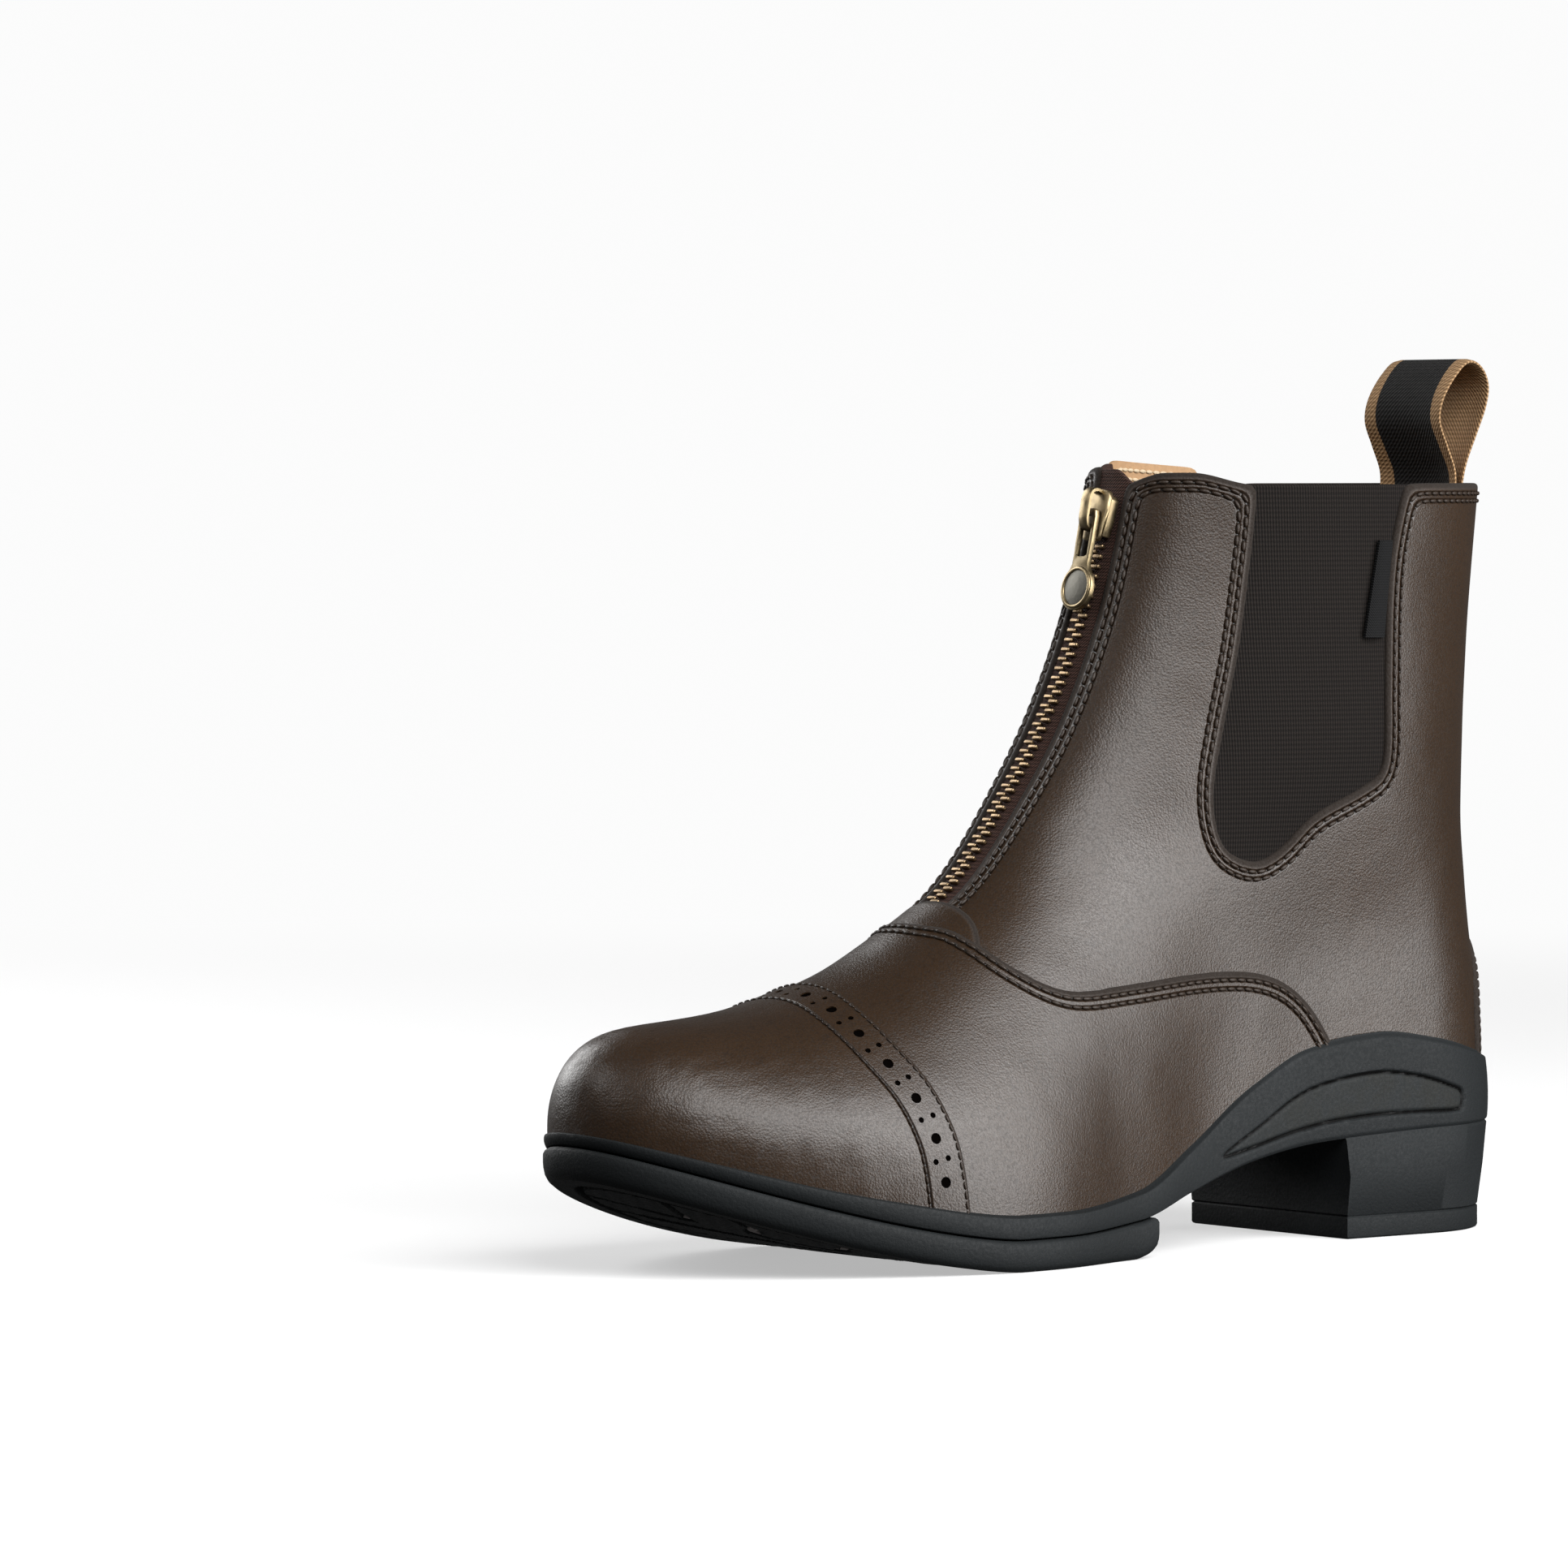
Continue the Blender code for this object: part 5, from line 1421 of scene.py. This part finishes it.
breastFoot = float(xOf(0.0)) - heel["length"]
footInset = heel["inset"] + heel["taper"]
heelSolid("heelTopPiece", [
    heelRing(flatAt(0.0), footInset + 0.0006, breastFoot + 0.0006),
    heelRing(flatAt(0.0002), footInset + 0.0002, breastFoot + 0.0002),
    heelRing(flatAt(0.0006), footInset, breastFoot),
    heelRing(flatAt(heel["lift"] - 0.0004), footInset, breastFoot),
    heelRing(flatAt(heel["lift"]), footInset + 0.0004, breastFoot + 0.0004),
], "heel_top_piece")
heelSolid("heelBlock", [
    heelRing(flatAt(heel["lift"]), footInset + 0.0004, breastFoot + 0.0004),
    heelRing(flatAt(heel["lift"] + 0.0004), footInset, breastFoot),
    heelRing(lambda at: 0.5 * (heel["lift"] + splitZ(at)), heel["inset"] + 0.4 * heel["taper"], breastFoot),
    heelRing(lambda at: splitZ(at) - 0.0006, heel["inset"], breastFoot - 0.0019),
    heelRing(lambda at: splitZ(at) + 0.0004, heel["inset"] + 0.0006, breastFoot - 0.0019),
], "heel_block")

sockRing = offsetRing(traceRing(lambda at: bedZ(at) + last["gap"], 120), -0.0021)
sockRings = [sockRing, sockRing + [0, 0, 0.0018]]
rounded = offsetRing(sockRing, -0.0012) + [0, 0, 0.0024]
sock = stackPiece("sockLining", sockRings + [rounded], "lining", 60.0)
finishPiece(sock, ("insole",))
print("stage: heel, inlays and sock")


# The zip: a frame on the front line, then teeth, slider and pull tab

zipForm = {
    "pitch": 0.00245,
    "tooth": (0.0028, 0.00100, 0.0012),
    "rise": 0.0002,
    "sliderZ": last["collarHeight"] - 0.008,
    "hinge": (0.01646433, 0.17325784),
    "tabDown": (-0.21104, -0.97748),
    "tabOut": (-0.97748, 0.21104),
}


def frontFrame(z):
    here = np.array([float(frontX(z)), z])
    near = np.array([float(frontX(z - 0.002)), z - 0.002])
    down = unit(near - here)
    return here, np.array([down[1], -down[0]]), down


toothTop = zipForm["sliderZ"] - 0.0065
toothRun = frontLineAt(np.linspace(slot["foot"] - 0.002, toothTop, 200))
toothRun[:, 1] = 0.0
run = runOf(toothRun)
for side, label in ((-1, "Lateral"), (1, "Medial")):
    first = 0.0 if side < 0 else zipForm["pitch"] / 2
    at = pointsAt(toothRun, run, np.arange(first, run[-1], zipForm["pitch"]))
    up = unit(np.gradient(at, axis=0))
    out = np.column_stack([-up[:, 2], np.zeros(len(up)), up[:, 0]])
    at = at + out * zipForm["rise"] + np.array([0, side * 0.00115, 0])
    sidewaysWay = np.tile([0.0, 1.0, 0.0], (len(at), 1))
    teeth = copiesPiece(f"zipTeeth{label}", "block", at, turnsOf(sidewaysWay, out), zipForm["tooth"], "gold")
    soften = teeth.modifiers.new("soften", "BEVEL")
    soften.width, soften.segments = 0.00028, 2
    settle(teeth)
    finishPiece(teeth, ("zip_teeth",) if side < 0 else ())


def place(stand, d, y, o):
    # a point in a side-on frame: down, across and outwards from the stand's origin
    origin, down, out = stand
    at = np.asarray(origin) + np.asarray(down) * d + np.asarray(out) * o
    return (float(at[0]), float(y), float(at[1]))


def plate(name, outline, low, high, stand, look, bevel, window=None):
    # a plate in a side-on frame: outline in (down, across), thickness low to high outwards
    out = stand[2]
    built = bmesh.new()
    loops = [outline] + ([window] if window else [])
    edges = []
    for loop in loops:
        corners = [built.verts.new(place(stand, d, y, low)) for d, y in loop]
        edges += [built.edges.new((a, b)) for a, b in zip(corners, corners[1:] + corners[:1])]
    faces = bmesh.ops.triangle_fill(built, edges=edges, use_beauty=True, use_dissolve=False)["geom"]
    faces = [f for f in faces if isinstance(f, bmesh.types.BMFace)]
    grown = bmesh.ops.extrude_face_region(built, geom=faces)["geom"]
    moved = [v for v in grown if isinstance(v, bmesh.types.BMVert)]
    shift = Vector((out[0] * (high - low), 0.0, out[1] * (high - low)))
    bmesh.ops.translate(built, verts=moved, vec=shift)
    bmesh.ops.recalc_face_normals(built, faces=built.faces)
    mesh = bpy.data.meshes.new(name)
    built.to_mesh(mesh)
    built.free()
    mesh.materials.append(looks[look])
    piece = linked(name, mesh)
    soften = piece.modifiers.new("soften", "BEVEL")
    soften.width, soften.segments = bevel, 2
    soften.limit_method, soften.angle_limit = "ANGLE", math.radians(40)
    smoothFaces(settle(piece), 35)
    return piece


def mirrored(half):
    return list(half) + [(d, -y) for d, y in reversed(half)]


seat, outWay, downWay = frontFrame(zipForm["sliderZ"])
sliderHalf = [(-0.0062, 0.0012), (-0.0058, 0.0034), (-0.0040, 0.0044), (-0.0010, 0.0043), (0.0020, 0.0036),
              (0.0048, 0.0033), (0.0062, 0.0026), (0.0064, 0.0010)]
onSlider = (seat, downWay, outWay)
sliderPlate = plate("sliderPlate", mirrored(sliderHalf), 0.0014, 0.0030, onSlider, "brass", 0.0005)
finishPiece(sliderPlate, ("zip_slider",))
flangeHalf = [(-0.0050, 0.0034), (-0.0038, 0.0046), (0.0010, 0.0043), (0.0052, 0.0036), (0.0052, 0.0028),
              (0.0008, 0.0034), (-0.0036, 0.0036)]
for side, letter in ((-1, "L"), (1, "M")):
    flange = [(d, side * y) for d, y in flangeHalf]
    wing = plate(f"sliderFlange{letter}", flange, -0.0002, 0.0022, onSlider, "brass", 0.0004)
    finishPiece(wing)

bridge = {
    "width": 0.0030,
    "thick": 0.0011,
    "path": [  # down and outwards
        (-0.0054, 0.0026), (-0.0056, 0.0042), (-0.0050, 0.0056), (-0.0034, 0.0061), (-0.0010, 0.0060),
        (0.0016, 0.0058), (0.0032, 0.0051), (0.0037, 0.0040), (0.0037, 0.0028),
    ],
    "section": [
        (-0.5, -0.3), (-0.36, -0.5), (0.36, -0.5), (0.5, -0.3), (0.5, 0.3), (0.36, 0.5), (-0.36, 0.5),
        (-0.5, 0.3),
    ],
}


def bridgePiece():
    # a flat bar bent in the side view
    path = smoothLine(bridge["path"], 6)
    sections = []
    for spot, way in zip(path, leftOf(path)):
        section = []
        for a, b in bridge["section"]:
            d, o = spot + way * b * bridge["thick"]
            section.append(place(onSlider, d, a * bridge["width"], o))
        sections.append(section)
    return stripPiece("sliderBridge", sections, "brass")


finishPiece(bridgePiece())

# The pull tab rides its own body: rails with a long slot, a neck and a round end

tabForm = {
    "thick": 0.0012,
    "centre": 0.0183,
    "radius": 0.0054,
    "field": 0.0043,
    "rim": 0.0046,
    "rimWidth": 0.0010,
    "rimRise": 0.00040,
}


def tabOutline():
    side = [(-0.0008, 0.0018), (-0.0004, 0.0026), (0.0012, 0.0029), (0.0070, 0.0029), (0.0105, 0.0027),
            (0.0125, 0.0027)]
    turn = np.linspace(math.radians(150), math.radians(4), 16)
    return mirrored(side + [roundTab(a, tabForm["radius"]) for a in turn[1:]])


def roundTab(angle, radius):
    # a place on a circle about the middle of the tab's round end
    return (tabForm["centre"] + radius * math.cos(angle), radius * math.sin(angle))


def slotOutline():
    half = 0.0019
    return mirrored([(0.0009, half * 0.55), (0.0013, half), (0.0104, half), (0.0108, half * 0.55)])


hinge = np.array(zipForm["hinge"])
tabDown, tabOut = np.array(zipForm["tabDown"]), np.array(zipForm["tabOut"])
onTab = (hinge, tabDown, tabOut)
half = tabForm["thick"] / 2
tab = plate("pullTab", tabOutline(), -half, half, onTab, "brass", 0.00022, slotOutline())
finishPiece(tab, ("zip_pull_tab",), "pull_tab")


def ringOn(name, face):
    # a raised rim round the tab's field
    sections = []
    for a in fullTurn(48):
        section = []
        for b in fullTurn(8):
            reach = tabForm["rim"] + tabForm["rimWidth"] / 2 * math.cos(b)
            section.append(place(onTab, *roundTab(a, reach), face + tabForm["rimRise"] * math.sin(b)))
        sections.append(section)
    sections = np.array(sections)
    rows, count = sections.shape[:2]
    end = (rows - 1) * count
    faces = ringFaces(rows, count)
    faces += [[end + i, end + (i + 1) % count, (i + 1) % count, i] for i in range(count)]
    piece = faceOut(meshObject(name, sections.reshape(-1, 3), faces, "brass", 60.0))
    finishPiece(piece, (), "pull_tab")


disc = [roundTab(a, tabForm["field"]) for a in fullTurn(32)]
dark = plate("pullTabField", disc, half - 0.0001, half + 0.00008, onTab, "patina", 0.00004)
finishPiece(dark, (), "pull_tab")
ringOn("pullTabRim", half)
ringOn("pullTabRimBack", -half)
print("stage: zip")


# The pull loop: webbing with tan edges, bent into a drop that stands on the back of the collar

loopForm = {
    "width": 0.027,
    "thick": 0.0012,
    "rise": 0.030,
    "bow": 0.0042,
    "stripe": 0.0036,
    "path": [
        (-0.218, -0.34), (-0.208, -0.10), (-0.235, 0.10), (-0.350, 0.30), (-0.462, 0.50), (-0.455, 0.68),
        (-0.350, 0.87), (-0.215, 0.98), (-0.085, 0.95), (0.020, 0.80), (0.020, 0.62), (-0.045, 0.40),
        (-0.115, 0.18), (-0.138, 0.00), (-0.142, -0.34),
    ],
}


def loopPiece():
    line = smoothLine(loopForm["path"], 10)
    back = float(backX(last["collarHeight"]))
    side = np.array([back, last["collarHeight"]]) + line * loopForm["rise"]
    away = leftOf(side) * loopForm["thick"] / 2
    edge = 0.5 - loopForm["stripe"] / loopForm["width"]
    across = np.array([0.5, 0.488, 0.42, edge, edge - 0.004, 0.2, 0.1])
    across = np.concatenate([-across, [0], across[::-1]])
    points, uvs, sections = [], [], []
    for spot, out, share, v in zip(side, away, line[:, 1], runOf(side)):
        bow = loopForm["bow"] * np.clip(1 - share / 0.9, 0, 1)
        for sign, order in ((1, across), (-1, across[::-1])):
            for a in order:
                rim = 1 - 0.75 * ease((abs(a) - 0.47) / 0.03)
                ridge = 0.00012 * ease((abs(a) - edge) / 0.01) * (sign < 0)
                at = spot + sign * out * rim + sign * unit(out) * ridge
                points.append((at[0] - bow * (2 * a) ** 2, a * loopForm["width"], at[1]))
                uvs.append((a * loopForm["width"], v))
    count = 2 * len(across)
    rows = len(side)
    faces = ringFaces(rows, count)
    looksOf = []
    for ring in range(rows - 1):
        for i in range(count):
            j = (i + 1) % count
            mids = (uvs[i][0] + uvs[j][0]) / 2 / loopForm["width"]
            outerFace = i < len(across)
            looksOf.append(1 if (not outerFace or abs(mids) > edge) else 0)
    faces += endFaces(rows, count)
    looksOf += [1, 1]
    return faceOut(meshObject("pullLoop", points, faces, ("webbing", "webTan"), 60.0, uvs, faceLooks=looksOf))


finishPiece(loopPiece(), ("pull_loop",))


# The side label: a folded tag sewn in at the gore's rear edge

labelForm = {
    "corners": [(0.0737, 0.1435), (0.0803, 0.1434), (0.0837, 0.1665), (0.0790, 0.1665)],
    "rows": 24,
    "columns": 8,
    "weave": (0.006, 0.023),
}


def labelPiece():
    a, b, c, d = (np.array(p) for p in labelForm["corners"])
    rows, columns = labelForm["rows"], labelForm["columns"]
    points, uvs = [], []
    for i in range(rows + 1):
        for j in range(columns + 1):
            v, u = i / rows, j / columns
            at = (a * (1 - u) + b * u) * (1 - v) + (d * (1 - u) + c * u) * v
            y = float(upperCentre(at[0], at[1]) - upperHalfWidth(at[0], at[1]))
            lift = 0.0003 + 0.0009 * math.sin(math.pi * min(1.0, 0.15 + u))
            points.append((at[0], y - lift, at[1]))
            uvs.append((u * labelForm["weave"][0], v * labelForm["weave"][1]))
    count = (rows + 1) * (columns + 1)
    index = np.arange(count).reshape(rows + 1, columns + 1)
    faces = [[index[i, j], index[i, j + 1], index[i + 1, j + 1], index[i + 1, j]]
             for i in range(rows) for j in range(columns)]
    points = np.array(points)
    back = points + [0, 0.0008, 0]
    rim = list(index[0, :]) + list(index[1:, -1]) + list(index[-1, -2::-1]) + list(index[-2:0:-1, 0])
    faces += [[k + count for k in reversed(face)] for face in faces]
    faces += [[two, one, one + count, two + count] for one, two in zip(rim, rim[1:] + rim[:1])]
    return faceOut(meshObject("sideLabel", np.concatenate([points, back]), faces, "label", 50.0, uvs + uvs))


finishPiece(labelPiece(), ("side_label",))
print("stage: loop and label")


# Floor, light and camera

floorMesh = bpy.data.meshes.new("floor")
floorMesh.from_pydata([(-30, -30, 0), (30, -30, 0), (30, 30, 0), (-30, 30, 0)], [], [(0, 1, 2, 3)])
paleness, roomLight = 0.97, 0.09
floorLook = Graph("paleFloor", (0.80, 0.80, 0.80), 0.85, Emission_Strength=1.0, Specular_IOR_Level=0.0)
across, deep = (floorLook.axis(floorLook.place(), name) for name in ("X", "Y"))
reach = (across * across + deep * deep).maths("SQRT")
away = floorLook.ramp(reach, 0.5, 1.5)  # far from the boot the floor fades into the room
floorLook.set("Base Color", floorLook.mix(away, (0.45, 0.45, 0.45), (0.0, 0.0, 0.0)))
floorLook.set("Emission Color", floorLook.mix(away, (0.45, 0.45, 0.45), (paleness, paleness, paleness)))
floorMesh.materials.append(floorLook.material)
floor = linked("floor", floorMesh)
stagePieces = [floor]


def softBox(name, place, target, size, power):
    lamp = bpy.data.lights.new(name, "AREA")
    lamp.shape, lamp.size, lamp.size_y = "RECTANGLE", size[0], size[1]
    lamp.energy = power
    made = linked(name, lamp)
    made.location = place
    made.rotation_euler = (Vector(target) - Vector(place)).to_track_quat("-Z", "Y").to_euler()
    stagePieces.append(made)


softBox("sideBox", (-0.10, -1.10, 0.96), (0.02, 0.0, 0.10), (1.5, 0.85), 33.0)
softBox("heelBox", (0.66, -1.11, 0.30), (0.03, 0.0, 0.10), (0.92, 1.18), 28.5)
softBox("toeBox", (-1.25, 0.20, 0.95), (-0.05, 0.0, 0.08), (0.5, 0.5), 4.0)
softBox("backBox", (-0.30, 1.35, 0.7), (0.0, 0.0, 0.12), (1.2, 1.0), 20.0)

backdrop = {"radius": 7.0, "high": 1.1, "middle": 52.0, "spread": 180.0}
turns = np.radians(backdrop["middle"] + np.linspace(-1, 1, 41) * backdrop["spread"])
foot = np.column_stack([np.cos(turns), np.sin(turns), 0 * turns]) * backdrop["radius"]
wallPoints = np.concatenate([foot, foot + [0, 0, backdrop["high"]]])
wallFaces = [[i, i + 1, i + 42, i + 41] for i in range(40)]
wallLook = Graph("paleBackdrop", (0.0, 0.0, 0.0), 1.0, Emission_Strength=1.0, Specular_IOR_Level=0.0)
wallLook.set("Emission Color", (paleness, paleness, paleness, 1.0))
looks["wall"] = wallLook.material
stagePieces.append(meshObject("backdrop", wallPoints, wallFaces, "wall"))
for piece in (floor, stagePieces[-1]):  # a pale room that doesn't wash out the leather
    piece.visible_glossy = piece.visible_diffuse = piece.visible_shadow = False

world = bpy.data.worlds.new("paleRoom")
world.use_nodes = True
world.node_tree.nodes["Background"].inputs[0].default_value = (1.0, 1.0, 1.0, 1.0)
world.node_tree.nodes["Background"].inputs[1].default_value = roomLight
bpy.context.scene.world = world
bpy.context.scene.view_settings.view_transform = "Standard"

shot = {"place": (-1.2786, -1.5402, 0.181), "azimuth": 38.0, "pitch": 2.05, "lens": 195.56}
camera = bpy.data.cameras.new("camera")
camera.lens, camera.sensor_width = shot["lens"], 36.0
cameraObject = linked("camera", camera)
cameraObject.location = shot["place"]
azimuth, pitch = math.radians(shot["azimuth"]), math.radians(shot["pitch"])
lookWay = Vector((math.sin(azimuth) * math.cos(pitch), math.cos(azimuth) * math.cos(pitch), -math.sin(pitch)))
cameraObject.rotation_euler = lookWay.to_track_quat("-Z", "Y").to_euler()
bpy.context.scene.camera = cameraObject

print("stage: ready")
